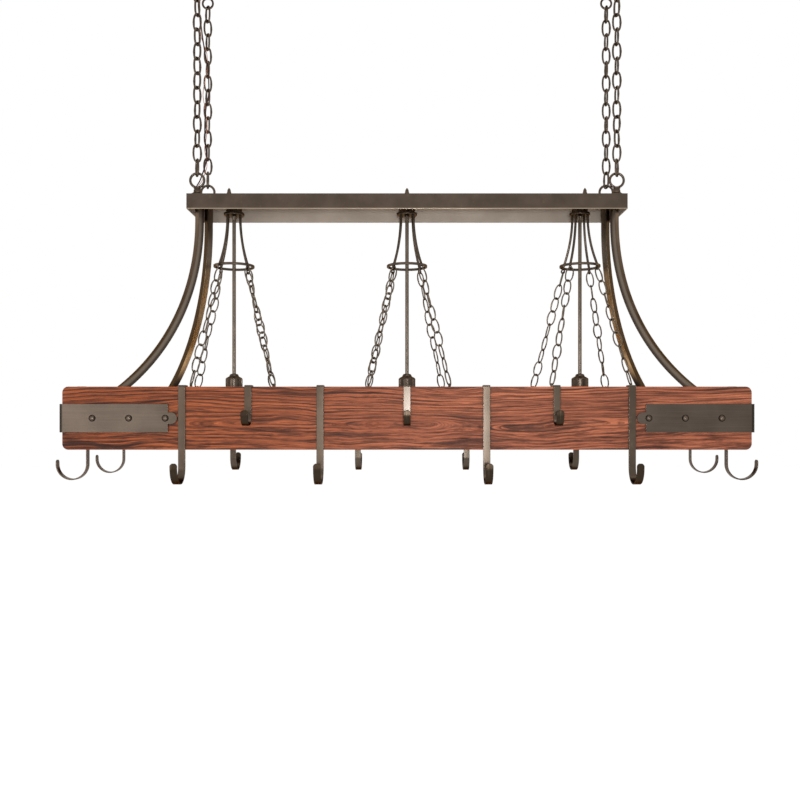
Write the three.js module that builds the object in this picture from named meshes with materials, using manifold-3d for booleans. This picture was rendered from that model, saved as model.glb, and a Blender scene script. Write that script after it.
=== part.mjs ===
// Hanging pot rack with three bowl lamps: an oak frame under a steel tray, hung on four chains.
// Millimetres, +Z up. The origin is the middle of the ceiling plane that the canopies screw to.
// +X runs along the rack, -Y is its front, and everything hangs below z = 0.

import * as THREE from 'three';
import { mergeVertices } from 'three/addons/utils/BufferGeometryUtils.js';
import Module from 'manifold-3d';

const wasm = await Module();
wasm.setup();

// ---------- driving dimensions ----------

const GAP = 0.3; // running gap between separate pieces
const BED = 1; // how far the forms of one piece reach into each other
const PAST = 1; // how far a cutting form reaches past the face it cuts

// oak frame
const FRAME_LENGTH = 1524;
const FRAME_DEPTH = 457;
const BOARD_HEIGHT = 139.7;
const BOARD_THICKNESS = 19;
const BOARD_CORNER = 13;

// tray that the arms, lamps and loops are fixed to
const TRAY_LENGTH = 1052;
const TRAY_DEPTH = 152.4;
const TRAY_HEIGHT = 37;
const TRAY_SHEET = 2;
const TRAY_ABOVE_FRAME = 466; // tray top over board top

// ceiling canopies and their eyes
const CANOPY_LENGTH = 176;
const CANOPY_WIDTH = 58;
const CANOPY_THICKNESS = 6;
const CANOPY_CORNER = 28;
const CANOPY_CORD_HOLE = 10;
const EYE_POST_DIAMETER = 11;
const EYE_POST_LENGTH = 14;
const EYE_RADIUS = 13;
const EYE_WIRE = 5;

// suspension chains
const CHAIN_INSET = 21.4; // from the tray's end
const CHAIN_GAUGE = 112; // front chain to back chain
const CHAIN_LINKS = 13;
const CHAIN_PITCH = 35;
const CHAIN_WIRE = 5;
const CHAIN_LINK_WIDTH = 23.7;
const LINK_BITE = 0.5; // how far each link beds into the next

// loops on the tray
const LOOP_RADIUS = 16.75;
const LOOP_WIRE = 6;
const LOOP_CENTRE_HEIGHT = 35.9;
const LOOP_NECK_DIAMETER = 17;
const LOOP_BASE_DIAMETER = 30;
const LOOP_BASE_HEIGHT = 8;
const LOOP_FLARE = 2; // how far the neck spreads above its base
const LOOP_FLARE_HEIGHT = 4.8;
const LOOP_BORE = 9;

// curved arms
const ARM_BAR = 16;
const ARM_FROM_TRAY_END = 25.3;
const ARM_FROM_TRAY_FACE = 27.7;
const ARM_STRAIGHT = 22; // straight run below the tray
const ARM_LANDING = 52.8; // where it meets the board, over the board's middle
const FOOT_THICKNESS = 5;
const FOOT_BOTTOM_WIDTH = 126;
const FOOT_TOP_WIDTH = 62;
const FOOT_RISE = 60; // foot top over the middle of the board
const FOOT_DROP = 28; // foot bottom under the middle of the board

// end straps
const STRAP_THICKNESS = 4.5;
const STRAP_HEIGHT = 62.8;
const STRAP_CLEARANCE = 1.2;
const STRAP_REACH = 235; // along the board from its end
const STRAP_BEND = 6;
const STRAP_CORNER = 5;
const STRAP_LOBE_LENGTH = 20;
const STRAP_LOBE_HEIGHT = 26;
const RIVET_DIAMETER = 15;
const RIVET_HEIGHT = 5;
const RIVET_EDGE = 1;
const RIVET_FROM_END = 68;
const RIVET_SPACING = 80.5;
const RIVETS = 3;

// pot hooks
const HOOK_WIDTH = 16;
const HOOK_THICKNESS = 3.2;
const HOOK_LIP = 25;
const HOOK_CHAMFER = 1.6;
const LONG_HOOK_RADIUS = 35.1;
const LONG_HOOK_DROP = 73.8; // bottom of the hook under the board
const LONG_HOOK_TIP = 8;
const SHORT_HOOK_RADIUS = 23.1;
const SHORT_HOOK_RISE = 53.4; // bottom of the hook over the bottom of the board
const SHORT_HOOK_TIP = 6.4;
const HOOK_FROM_STRAP = 2; // outermost front hooks to the straps' tongues
const END_HOOK_INSET = 98.9; // from the frame's front and back faces
// Places along the boards, as shares of the way out to the outermost front hooks.
const FRONT_LONG_HOOKS = [-1, -0.386, 0.354, 1];
const FRONT_SHORT_HOOKS = [-0.706, 0, 0.666];
const BACK_LONG_HOOKS = [-0.956, -0.27, 0.328, 0.93];
const BACK_SHORT_HOOKS = [-0.614, 0.028, 0.63];

// lamps
const LAMP_INSET = 99; // outer lamps from the tray's ends
const LAMP_TURNS = [54, 48, 50]; // degrees, left to right
const COLLAR_DIAMETER = 39;
const COLLAR_HEIGHT = 26.9;
const FLANGE_DIAMETER = 50;
const FLANGE_HEIGHT = 7;
const FLANGE_EDGE = 1; // bevel under its rim
const CROWN_ROD = 6;
const CROWN_TOP_RADIUS = 21;
const CROWN_BEND_OUT = 3; // the rods stay this near upright down to the bend
const CROWN_BEND_AT = 0.62; // of the way down
const CROWN_RING_RADIUS = 47.5;
const CROWN_RING_DROP = 132.5; // ring under the top of the flange
const CROWN_RING_HEIGHT = 6;
const CROWN_RING_THICKNESS = 5;
const CROWN_EYE_RADIUS = 4.5;
const LAMP_WIRE = 3.5;
const STEM_DIAMETER = 9;
const SOCKET_DROP = 397.5; // socket top under the flange
const SOCKET_DIAMETER = 41.5;
const SOCKET_HEIGHT = 56;
const SOCKET_TOP_RADIUS = 7;
const SOCKET_SHOULDER = 14; // height of its rounded top
const SOCKET_WALL = 3;
const SOCKET_RECESS = 24;
const BULB_DIAMETER = 56;
const BULB_NECK = 27;
const BULB_LENGTH = 78;
const BULB_FLARE = 4; // where its neck starts to widen, above the globe
const BOWL_RADIUS = 137;
const BOWL_DEPTH = 112;
const BOWL_WALL = 4;
const BOWL_DROP = 440; // bowl rim under the flange
const BAND_THICKNESS = 2.5;
const BAND_HEIGHT = 12; // below the bowl's rim
const BAND_LIP = 4; // over it
const BAND_TAB_WIDTH = 7;
const BAND_TAB_THICKNESS = 2;
const BAND_TAB_FOOT = 2; // where the tab starts, over the rim
const BAND_TAB_RISE = 12; // where the last link passes through it, over the rim
const HANGER_LINKS = 9;
const HANGER_LINK_WIDTH = 22;

// lamp cord and earth wire
const CORD_DIAMETER = 3;
const EARTH_DIAMETER = 1.6;

// facets
const CHAIN_STEPS = 8;
const HANGER_STEPS = 6;
const LINK_SIDES = 3;
const LINK_FACET_GROWTH = 1.3; // a three-sided wire is drawn this much fatter
const RING_STEPS = 10;
const CROWN_EYE_STEPS = 6;
const RING_SIDES = 4;
const TURNED_STEPS = 10;
const POST_STEPS = 6;
const BORE_STEPS = 8;
const RIVET_STEPS = 6;
const ROD_SIDES = 4;
const ROD_STEPS = 4;
const STEM_STEPS = 8;
const CORD_SIDES = 8;
const BOWL_STEPS = 16;
const BOWL_RINGS = 4;
const CURVE_STEPS = 3; // per outline arc, doubled by the extrusion
const CORNER_STEPS = 2;
const ARM_STEPS = 6;
const CORD_STEPS = 40;
const EARTH_STEPS = 36;

// ---------- levels and places worked out from them ----------

const EYE_CENTRE = -(CANOPY_THICKNESS + EYE_POST_LENGTH + EYE_RADIUS);
const CHAIN_TOP_PIVOT = EYE_CENTRE - EYE_RADIUS;
const CHAIN_START = CHAIN_TOP_PIVOT + EYE_WIRE / 2 + GAP;
const CHAIN_END = CHAIN_START - CHAIN_LINKS * CHAIN_PITCH + LINK_BITE;
const CHAIN_LOWER_PIVOT = CHAIN_END + LOOP_WIRE / 2 + GAP;
const LOOP_CENTRE = CHAIN_LOWER_PIVOT - LOOP_RADIUS;
const TRAY_TOP = LOOP_CENTRE - LOOP_CENTRE_HEIGHT;
const TRAY_UNDER = TRAY_TOP - TRAY_SHEET - GAP; // where arms and lamps seat
const BOARD_TOP = TRAY_TOP - TRAY_ABOVE_FRAME;
const BOARD_MIDDLE = BOARD_TOP - BOARD_HEIGHT / 2;
const CHAIN_X = TRAY_LENGTH / 2 - CHAIN_INSET;
const CHAIN_Y = CHAIN_GAUGE / 2;
const CORD_HOLE_Y = -CHAIN_Y + 30;
const INNER_FACE = FRAME_DEPTH / 2 - BOARD_THICKNESS;
const TONGUE_X = FRAME_LENGTH / 2 - STRAP_REACH - STRAP_LOBE_LENGTH;
const OUTER_HOOK_X = TONGUE_X - HOOK_FROM_STRAP - HOOK_WIDTH / 2;
const END_HOOK_Y = FRAME_DEPTH / 2 - END_HOOK_INSET;
const LAMP_X = TRAY_LENGTH / 2 - LAMP_INSET;
const FLANGE_TOP = TRAY_UNDER - COLLAR_HEIGHT;

// ---------- materials ----------

const paint = (color, roughness, metalness, extra = {}) =>
  new THREE.MeshStandardMaterial({ color, roughness, metalness, ...extra });
const BRONZE = paint(0x5c544b, 0.45, 0.85);
const BRUSHED = paint(0x6e6458, 0.4, 0.9);
const OAK = paint(0x9a5238, 0.55, 0);
const GLASS = paint(0xefe3cc, 0.25, 0, { transparent: true, opacity: 0.75 });
const BULB_GLASS = paint(0xfff4dc, 0.2, 0);
const CORD = paint(0x7a4a30, 0.6, 0);
const COPPER = paint(0xb06a3c, 0.35, 0.9);

// ---------- closed solids ----------

function solid(geometry) {
  const bare = new THREE.BufferGeometry();
  bare.setAttribute('position', geometry.attributes.position.clone());
  if (geometry.index) bare.setIndex(geometry.index.clone());
  const welded = mergeVertices(bare, 1e-4);
  const corners = welded.index.array;
  const kept = [];
  for (let i = 0; i < corners.length; i += 3) {
    const [a, b, c] = [corners[i], corners[i + 1], corners[i + 2]];
    if (a !== b && b !== c && c !== a) kept.push(a, b, c);
  }
  return new wasm.Manifold(
    new wasm.Mesh({
      numProp: 3,
      vertProperties: new Float32Array(welded.attributes.position.array),
      triVerts: new Uint32Array(kept),
    }),
  );
}

function surface(body) {
  const mesh = body.getMesh();
  const geometry = new THREE.BufferGeometry();
  geometry.setAttribute('position', new THREE.BufferAttribute(new Float32Array(mesh.vertProperties), 3));
  geometry.setIndex(new THREE.BufferAttribute(new Uint32Array(mesh.triVerts), 1));
  geometry.computeVertexNormals();
  return geometry;
}

const fuse = (geometries) => geometries.map(solid).reduce((whole, piece) => whole.add(piece));

// ---------- basic forms ----------

// A profile of [radius, height] points turned about Z.
function turned(profile, steps = TURNED_STEPS) {
  const points = profile.map(([radius, height]) => new THREE.Vector2(radius, height));
  return new THREE.LatheGeometry(points, steps).rotateX(Math.PI / 2);
}

function cylinder(diameter, bottom, top, steps = TURNED_STEPS) {
  const radius = diameter / 2;
  return turned([[0, bottom], [radius, bottom], [radius, top], [0, top]], steps);
}

function box(x0, x1, y0, y1, z0, z1) {
  return new THREE.BoxGeometry(x1 - x0, y1 - y0, z1 - z0)
    .translate((x0 + x1) / 2, (y0 + y1) / 2, (z0 + z1) / 2);
}

// A shape drawn in X and Z, given a thickness centred on Y = 0.
function plate(shape, thickness, curveSegments = CURVE_STEPS) {
  return new THREE.ExtrudeGeometry(shape, { depth: thickness, bevelEnabled: false, curveSegments })
    .translate(0, 0, -thickness / 2)
    .rotateX(Math.PI / 2);
}

function roundedRectangle(x0, x1, z0, z1, corner) {
  const shape = new THREE.Shape();
  shape.moveTo(x0 + corner, z0);
  shape.absarc(x1 - corner, z0 + corner, corner, -Math.PI / 2, 0);
  shape.absarc(x1 - corner, z1 - corner, corner, 0, Math.PI / 2);
  shape.absarc(x0 + corner, z1 - corner, corner, Math.PI / 2, Math.PI);
  shape.absarc(x0 + corner, z0 + corner, corner, Math.PI, Math.PI * 1.5);
  return shape;
}

// A round bar along a path, its section a polygon of that many sides.
function alongPath(path, diameter, sides, steps) {
  const corners = [...Array(sides).keys()].map((i) => new THREE.Vector2(diameter / 2, 0)
    .rotateAround(new THREE.Vector2(), (i / sides) * Math.PI * 2));
  return new THREE.ExtrudeGeometry(new THREE.Shape(corners), { steps, extrudePath: path });
}

// A round ring standing in the XZ plane. Its steps are even but no multiple of four, so that a
// flat lies at the top and at the bottom, and those flats are at the full radius.
function ring(radius, wire, steps = RING_STEPS, sides = RING_SIDES) {
  return new THREE.TorusGeometry(radius / Math.cos(Math.PI / steps), wire / 2, sides, steps)
    .rotateX(Math.PI / 2);
}

// A long link standing in the XZ plane; innerLength is measured between its bearing points.
// The negative tube radius turns the three-sided wire so that a ridge faces inward, where the
// next link bears. With 8 steps the link has parallel sides, with 6 it is a long hexagon.
function link({ wire, innerLength, width, steps }) {
  const facet = (wire / 2) * LINK_FACET_GROWTH;
  const slack = Math.cos(Math.PI / steps);
  const parallelSides = steps % 4 === 0;
  const bend = (width - wire) / 2 / (parallelSides ? slack : 1);
  const stretch = innerLength / 2 - (bend - facet) * slack;
  const geometry = new THREE.TorusGeometry(bend, -facet, LINK_SIDES, steps);
  if (parallelSides) geometry.rotateZ(Math.PI / steps);
  const place = geometry.attributes.position;
  for (let i = 0; i < place.count; i += 1) {
    const y = place.getY(i);
    if (Math.abs(y) > facet / 4) place.setY(i, y + Math.sign(y) * stretch);
  }
  return geometry.rotateX(Math.PI / 2);
}

// A chain hanging down from its first bearing point at the origin. Neighbouring links stand
// square to each other, and the first one stands in the YZ plane.
function chain({ count, pitch, wire, width, steps, twist = 0 }) {
  const innerLength = pitch - LINK_BITE;
  const links = [];
  for (let i = 0; i < count; i += 1) {
    const turn = i % 2 ? 0 : Math.PI / 2;
    const lean = twist * Math.sin((Math.PI * i) / (count - 1));
    links.push(
      link({ wire, innerLength, width, steps })
        .rotateZ(turn + lean)
        .translate(0, 0, -innerLength / 2 - i * pitch),
    );
  }
  return fuse(links);
}

// ---------- assembly ----------

const rack = new THREE.Group();

function add(name, body, material, position = [0, 0, 0], turn = 0) {
  const mesh = new THREE.Mesh(surface(body), material);
  mesh.name = name;
  mesh.position.set(...position);
  mesh.rotation.z = turn;
  rack.add(mesh);
  return mesh;
}

const ENDS = [['left', -1], ['right', 1]];
const FACES = [['front', -1], ['back', 1]];

// ---------- ceiling canopies ----------

function canopy(withCordHole) {
  const outline = roundedRectangle(
    -CANOPY_WIDTH / 2, CANOPY_WIDTH / 2, -CANOPY_LENGTH / 2, CANOPY_LENGTH / 2, CANOPY_CORNER);
  const base = new THREE.ExtrudeGeometry(outline, {
    depth: CANOPY_THICKNESS, bevelEnabled: false, curveSegments: CORNER_STEPS,
  }).translate(0, 0, -CANOPY_THICKNESS);
  const pieces = [base];
  for (const [, face] of FACES) {
    const post = cylinder(
      EYE_POST_DIAMETER, EYE_CENTRE + EYE_RADIUS - BED, -CANOPY_THICKNESS / 2, POST_STEPS);
    pieces.push(post.translate(0, face * CHAIN_Y, 0));
    pieces.push(ring(EYE_RADIUS, EYE_WIRE).translate(0, face * CHAIN_Y, EYE_CENTRE));
  }
  let body = fuse(pieces);
  if (withCordHole) {
    const hole = cylinder(CANOPY_CORD_HOLE, -CANOPY_THICKNESS - PAST, PAST);
    body = body.subtract(solid(hole.translate(0, CORD_HOLE_Y, 0)));
  }
  return body;
}

for (const [end, side] of ENDS) {
  add(`canopy_${end}`, canopy(end === 'left'), BRONZE, [side * CHAIN_X, 0, 0]);
}

// ---------- suspension chains ----------

for (const [end, side] of ENDS) {
  for (const [face, front] of FACES) {
    const body = chain({
      count: CHAIN_LINKS,
      pitch: CHAIN_PITCH,
      wire: CHAIN_WIRE,
      width: CHAIN_LINK_WIDTH,
      steps: CHAIN_STEPS,
      twist: end === 'left' ? Math.PI / 5 : 0,
    });
    add(`chain_${face}_${end}`, body, BRONZE, [side * CHAIN_X, front * CHAIN_Y, CHAIN_START]);
  }
}

// ---------- loops on the tray ----------

function loop() {
  const neckTop = LOOP_CENTRE_HEIGHT - LOOP_RADIUS + BED;
  const neck = turned([
    [0, GAP],
    [LOOP_BASE_DIAMETER / 2, GAP],
    [LOOP_NECK_DIAMETER / 2 + LOOP_FLARE, LOOP_FLARE_HEIGHT],
    [LOOP_NECK_DIAMETER / 2, LOOP_BASE_HEIGHT],
    [LOOP_NECK_DIAMETER / 2, neckTop],
    [0, neckTop],
  ]);
  const eye = ring(LOOP_RADIUS, LOOP_WIRE).translate(0, 0, LOOP_CENTRE_HEIGHT);
  const boreTop = LOOP_CENTRE_HEIGHT - LOOP_RADIUS + LOOP_WIRE;
  const bore = cylinder(LOOP_BORE, -PAST, boreTop, BORE_STEPS);
  return fuse([neck, eye]).subtract(solid(bore));
}

for (const [end, side] of ENDS) {
  for (const [face, front] of FACES) {
    add(`loop_${face}_${end}`, loop(), BRONZE, [side * CHAIN_X, front * CHAIN_Y, TRAY_TOP]);
  }
}

// ---------- tray ----------

function tray() {
  const x = TRAY_LENGTH / 2;
  const y = TRAY_DEPTH / 2;
  const shell = solid(box(-x, x, -y, y, -TRAY_HEIGHT, 0));
  const hollow = box(
    -x + TRAY_SHEET, x - TRAY_SHEET, -y + TRAY_SHEET, y - TRAY_SHEET, -TRAY_HEIGHT - PAST, -TRAY_SHEET);
  return shell.subtract(solid(hollow));
}

add('tray', tray(), BRONZE, [0, 0, TRAY_TOP]);

// ---------- curved arms ----------

// The bar's outline in its own upright plane: out from the middle is +X, its top end is at the origin.
function armOutline(bendTop, radius, endAngle) {
  const half = ARM_BAR / 2;
  const shape = new THREE.Shape();
  shape.moveTo(-half, 0);
  shape.lineTo(-half, bendTop);
  shape.absarc(radius, bendTop, radius + half, Math.PI, Math.PI + endAngle);
  shape.absarc(radius, bendTop, radius - half, Math.PI + endAngle, Math.PI, true);
  shape.lineTo(half, 0);
  return shape;
}

// An arm for the right-hand front corner. Its upright plane runs from its place under the tray
// to the middle of its foot, and its bend is the one round arc that starts upright and lands there.
function arm() {
  const topX = TRAY_LENGTH / 2 - ARM_FROM_TRAY_END;
  const topY = TRAY_DEPTH / 2 - ARM_FROM_TRAY_FACE;
  const wallFace = INNER_FACE - GAP;
  const footX = FRAME_LENGTH / 2 - RIVET_FROM_END - RIVET_SPACING / 2;
  const bendTop = TRAY_TOP - TRAY_HEIGHT - ARM_STRAIGHT - TRAY_UNDER;
  const drop = TRAY_UNDER + bendTop - (BOARD_MIDDLE + ARM_LANDING);
  const reach = Math.hypot(footX - topX, wallFace - topY);
  const heading = Math.atan2(wallFace - topY, footX - topX);
  const radius = (reach ** 2 + drop ** 2) / (2 * reach);
  const pastWall = reach + (ARM_BAR / Math.sin(heading)) * 2;
  const endAngle = Math.acos(1 - pastWall / radius);
  const bar = plate(armOutline(bendTop, radius, endAngle), ARM_BAR, ARM_STEPS)
    .rotateZ(-heading)
    .translate(topX, -topY, TRAY_UNDER);

  const outline = new THREE.Shape();
  outline.moveTo(-FOOT_BOTTOM_WIDTH / 2, -FOOT_DROP);
  outline.lineTo(FOOT_BOTTOM_WIDTH / 2, -FOOT_DROP);
  outline.lineTo(FOOT_BOTTOM_WIDTH / 2, FOOT_DROP);
  outline.lineTo(FOOT_TOP_WIDTH / 2, FOOT_RISE);
  outline.lineTo(-FOOT_TOP_WIDTH / 2, FOOT_RISE);
  outline.lineTo(-FOOT_BOTTOM_WIDTH / 2, FOOT_DROP);
  const foot = plate(outline, FOOT_THICKNESS)
    .translate(footX, -wallFace + FOOT_THICKNESS / 2, BOARD_MIDDLE);

  const beyond = box(
    0, FRAME_LENGTH, -FRAME_DEPTH, -wallFace, BOARD_MIDDLE - BOARD_HEIGHT, TRAY_TOP);
  return fuse([bar, foot]).subtract(solid(beyond));
}

const cornerArm = arm();
for (const [end, side] of ENDS) {
  for (const [face, front] of FACES) {
    const mirrored = cornerArm.scale([side, -front, 1]);
    add(`arm_${face}_${end}`, mirrored, BRONZE);
  }
}

// ---------- oak boards ----------

const longBoard = () => plate(
  roundedRectangle(-FRAME_LENGTH / 2, FRAME_LENGTH / 2, -BOARD_HEIGHT / 2, BOARD_HEIGHT / 2, BOARD_CORNER),
  BOARD_THICKNESS,
  CORNER_STEPS,
);
const longBoardY = (FRAME_DEPTH - BOARD_THICKNESS) / 2;
for (const [face, front] of FACES) {
  add(`board_${face}`, solid(longBoard()), OAK, [0, front * longBoardY, BOARD_MIDDLE]);
}

const endBoardHalf = INNER_FACE - GAP;
for (const [end, side] of ENDS) {
  const board = box(
    -BOARD_THICKNESS / 2, BOARD_THICKNESS / 2,
    -endBoardHalf, endBoardHalf,
    -BOARD_HEIGHT / 2, BOARD_HEIGHT / 2);
  add(`board_${end}`, solid(board), OAK, [side * (FRAME_LENGTH - BOARD_THICKNESS) / 2, 0, BOARD_MIDDLE]);
}

// ---------- end straps ----------

// Plan of the strap round the right-hand end, a U open towards -X.
function strapPlan() {
  const clear = STRAP_CLEARANCE;
  const innerX = FRAME_LENGTH / 2 + clear;
  const innerY = FRAME_DEPTH / 2 + GAP;
  const outerX = innerX + STRAP_THICKNESS;
  const outerY = innerY + STRAP_THICKNESS;
  const bend = STRAP_BEND;
  const shape = new THREE.Shape();
  shape.moveTo(TONGUE_X, -outerY);
  shape.lineTo(outerX - bend, -outerY);
  shape.absarc(outerX - bend, -outerY + bend, bend, -Math.PI / 2, 0);
  shape.absarc(outerX - bend, outerY - bend, bend, 0, Math.PI / 2);
  shape.lineTo(TONGUE_X, outerY);
  shape.lineTo(TONGUE_X, innerY);
  shape.lineTo(innerX, innerY);
  shape.lineTo(innerX, -innerY);
  shape.lineTo(TONGUE_X, -innerY);
  return shape;
}

// What the strap looks like from the front: a plate with a round-ended tongue.
function strapElevation() {
  const end = FRAME_LENGTH / 2 + STRAP_CLEARANCE + STRAP_THICKNESS + PAST;
  const plateEnd = FRAME_LENGTH / 2 - STRAP_REACH;
  const top = STRAP_HEIGHT / 2;
  const lobe = STRAP_LOBE_HEIGHT / 2;
  const corner = STRAP_CORNER;
  const shape = new THREE.Shape();
  shape.moveTo(end, -top);
  shape.lineTo(end, top);
  shape.absarc(plateEnd + corner, top - corner, corner, Math.PI / 2, Math.PI);
  shape.lineTo(plateEnd, lobe);
  shape.absarc(plateEnd - STRAP_LOBE_LENGTH + lobe, 0, lobe, Math.PI / 2, Math.PI * 1.5);
  shape.lineTo(plateEnd, -lobe);
  shape.absarc(plateEnd + corner, -top + corner, corner, Math.PI, Math.PI * 1.5);
  return shape;
}

function rivetHead() {
  const radius = RIVET_DIAMETER / 2;
  return turned([
    [0, -STRAP_THICKNESS / 2],
    [radius, -STRAP_THICKNESS / 2],
    [radius, RIVET_EDGE],
    [radius * 0.6, RIVET_HEIGHT * 0.85],
    [0, RIVET_HEIGHT],
  ], RIVET_STEPS);
}

function strap() {
  const band = new THREE.ExtrudeGeometry(strapPlan(), {
    depth: STRAP_HEIGHT, bevelEnabled: false, curveSegments: CORNER_STEPS,
  }).translate(0, 0, -STRAP_HEIGHT / 2);
  let body = solid(band).intersect(solid(plate(strapElevation(), FRAME_DEPTH * 2)));
  const faceY = FRAME_DEPTH / 2 + GAP + STRAP_THICKNESS;
  for (const [, front] of FACES) {
    for (let i = 0; i < RIVETS; i += 1) {
      const x = FRAME_LENGTH / 2 - RIVET_FROM_END - i * RIVET_SPACING;
      const head = rivetHead().rotateX(-front * Math.PI / 2).translate(x, front * faceY, 0);
      body = body.add(solid(head));
    }
  }
  return body;
}

for (const [end, side] of ENDS) {
  add(`strap_${end}`, strap(), BRUSHED, [0, 0, BOARD_MIDDLE], side > 0 ? 0 : Math.PI);
}

// ---------- pot hooks ----------

// Hook profiles are drawn with +X away from the rack, X = 0 on the board's outer face
// and Z = 0 on its top edge. A face hook hangs down the outer face.
function hookBowl(shape, stemInner, centreX, centreZ, radius, tip) {
  const half = HOOK_THICKNESS / 2;
  shape.lineTo(stemInner, centreZ);
  shape.absarc(centreX, centreZ, radius - half, Math.PI, Math.PI * 2);
  shape.lineTo(centreX + radius - half, centreZ + tip);
  shape.lineTo(centreX + radius, centreZ + tip + half);
  shape.lineTo(centreX + radius + half, centreZ + tip);
  shape.absarc(centreX, centreZ, radius + half, 0, Math.PI, true);
}

function faceHook(radius, bottom, tip) {
  const t = HOOK_THICKNESS;
  const back = -BOARD_THICKNESS - GAP;
  const centreX = GAP + t / 2 + radius;
  const centreZ = bottom + radius + t / 2;
  const shape = new THREE.Shape();
  shape.moveTo(back - t, -HOOK_LIP);
  shape.lineTo(back - t, GAP + t - HOOK_CHAMFER);
  shape.lineTo(back - t + HOOK_CHAMFER, GAP + t);
  shape.lineTo(GAP + t - HOOK_CHAMFER, GAP + t);
  shape.lineTo(GAP + t, GAP + t - HOOK_CHAMFER);
  hookBowl(shape, GAP + t, centreX, centreZ, radius, tip);
  shape.lineTo(GAP, GAP);
  shape.lineTo(back, GAP);
  shape.lineTo(back, -HOOK_LIP);
  return plate(shape, HOOK_WIDTH);
}

// An end hook's stem hangs down the inner face, and its bowl comes out under the board.
function endHook(radius, bottom, tip) {
  const t = HOOK_THICKNESS;
  const inner = -BOARD_THICKNESS - GAP;
  const centreX = inner - t / 2 + radius;
  const centreZ = bottom + radius + t / 2;
  const shape = new THREE.Shape();
  shape.moveTo(GAP, -HOOK_LIP);
  shape.lineTo(GAP, GAP);
  shape.lineTo(inner, GAP);
  hookBowl(shape, inner, centreX, centreZ, radius, tip);
  shape.lineTo(inner - t, GAP + t - HOOK_CHAMFER);
  shape.lineTo(inner - t + HOOK_CHAMFER, GAP + t);
  shape.lineTo(GAP + t - HOOK_CHAMFER, GAP + t);
  shape.lineTo(GAP + t, GAP + t - HOOK_CHAMFER);
  shape.lineTo(GAP + t, -HOOK_LIP);
  return plate(shape, HOOK_WIDTH);
}

const longBottom = -BOARD_HEIGHT - LONG_HOOK_DROP;
const shortBottom = -BOARD_HEIGHT + SHORT_HOOK_RISE;
const longFaceHook = () => solid(faceHook(LONG_HOOK_RADIUS, longBottom, LONG_HOOK_TIP));
const shortFaceHook = () => solid(faceHook(SHORT_HOOK_RADIUS, shortBottom, SHORT_HOOK_TIP));
const longEndHook = () => solid(endHook(LONG_HOOK_RADIUS, longBottom, LONG_HOOK_TIP));

const FACE_HOOKS = [
  ['front', 'long', FRONT_LONG_HOOKS, longFaceHook],
  ['front', 'short', FRONT_SHORT_HOOKS, shortFaceHook],
  ['back', 'long', BACK_LONG_HOOKS, longFaceHook],
  ['back', 'short', BACK_SHORT_HOOKS, shortFaceHook],
];
for (const [face, kind, places, make] of FACE_HOOKS) {
  const front = face === 'front' ? -1 : 1;
  places.forEach((share, i) => {
    add(`hook_${face}_${kind}_${i + 1}`, make(), BRONZE,
      [share * OUTER_HOOK_X, front * FRAME_DEPTH / 2, BOARD_TOP], front * Math.PI / 2);
  });
}
for (const [end, side] of ENDS) {
  for (const [face, front] of FACES) {
    add(`hook_${end}_${face}`, longEndHook(), BRONZE,
      [side * FRAME_LENGTH / 2, front * END_HOOK_Y, BOARD_TOP], side > 0 ? 0 : Math.PI);
  }
}

// ---------- lamps ----------
// Each lamp is built about its own axis with z = 0 on top of its flange.

const CROWN_EYE_Z = -CROWN_RING_DROP - CROWN_RING_HEIGHT / 2 - CROWN_EYE_RADIUS;
const HANGER_TOP = new THREE.Vector2(CROWN_RING_RADIUS, CROWN_EYE_Z - CROWN_EYE_RADIUS);
const BAND_RADIUS = BOWL_RADIUS + GAP + BAND_THICKNESS;
const HANGER_FOOT = new THREE.Vector2(BAND_RADIUS - BAND_TAB_WIDTH / 2 - BED, -BOWL_DROP + BAND_TAB_RISE);

// collar, flange, four flared rods and the ring that the hangers hook into
function crown() {
  const body = turned([
    [0, -FLANGE_HEIGHT],
    [FLANGE_DIAMETER / 2 - FLANGE_EDGE, -FLANGE_HEIGHT],
    [FLANGE_DIAMETER / 2, -FLANGE_HEIGHT + FLANGE_EDGE],
    [FLANGE_DIAMETER / 2, 0],
    [COLLAR_DIAMETER / 2, 0],
    [COLLAR_DIAMETER / 2, COLLAR_HEIGHT],
    [0, COLLAR_HEIGHT],
  ]);
  const inside = CROWN_RING_RADIUS - CROWN_RING_THICKNESS / 2;
  const outside = CROWN_RING_RADIUS + CROWN_RING_THICKNESS / 2;
  const under = -CROWN_RING_DROP - CROWN_RING_HEIGHT / 2;
  const over = -CROWN_RING_DROP + CROWN_RING_HEIGHT / 2;
  const hoop = turned([
    [inside, under], [outside, under], [outside, over], [inside, over], [inside, under],
  ]);
  const pieces = [body, hoop];
  const path = new THREE.QuadraticBezierCurve3(
    new THREE.Vector3(CROWN_TOP_RADIUS, 0, 2 * BED - FLANGE_HEIGHT),
    new THREE.Vector3(CROWN_TOP_RADIUS + CROWN_BEND_OUT, 0, -CROWN_RING_DROP * CROWN_BEND_AT),
    new THREE.Vector3(CROWN_RING_RADIUS, 0, -CROWN_RING_DROP),
  );
  for (let i = 0; i < 4; i += 1) {
    const turn = (i * Math.PI) / 2;
    const eye = ring(CROWN_EYE_RADIUS, LAMP_WIRE, CROWN_EYE_STEPS, LINK_SIDES);
    pieces.push(alongPath(path, CROWN_ROD, ROD_SIDES, ROD_STEPS).rotateZ(turn));
    pieces.push(eye.translate(CROWN_RING_RADIUS, 0, CROWN_EYE_Z).rotateZ(turn));
  }
  return fuse(pieces);
}

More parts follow.
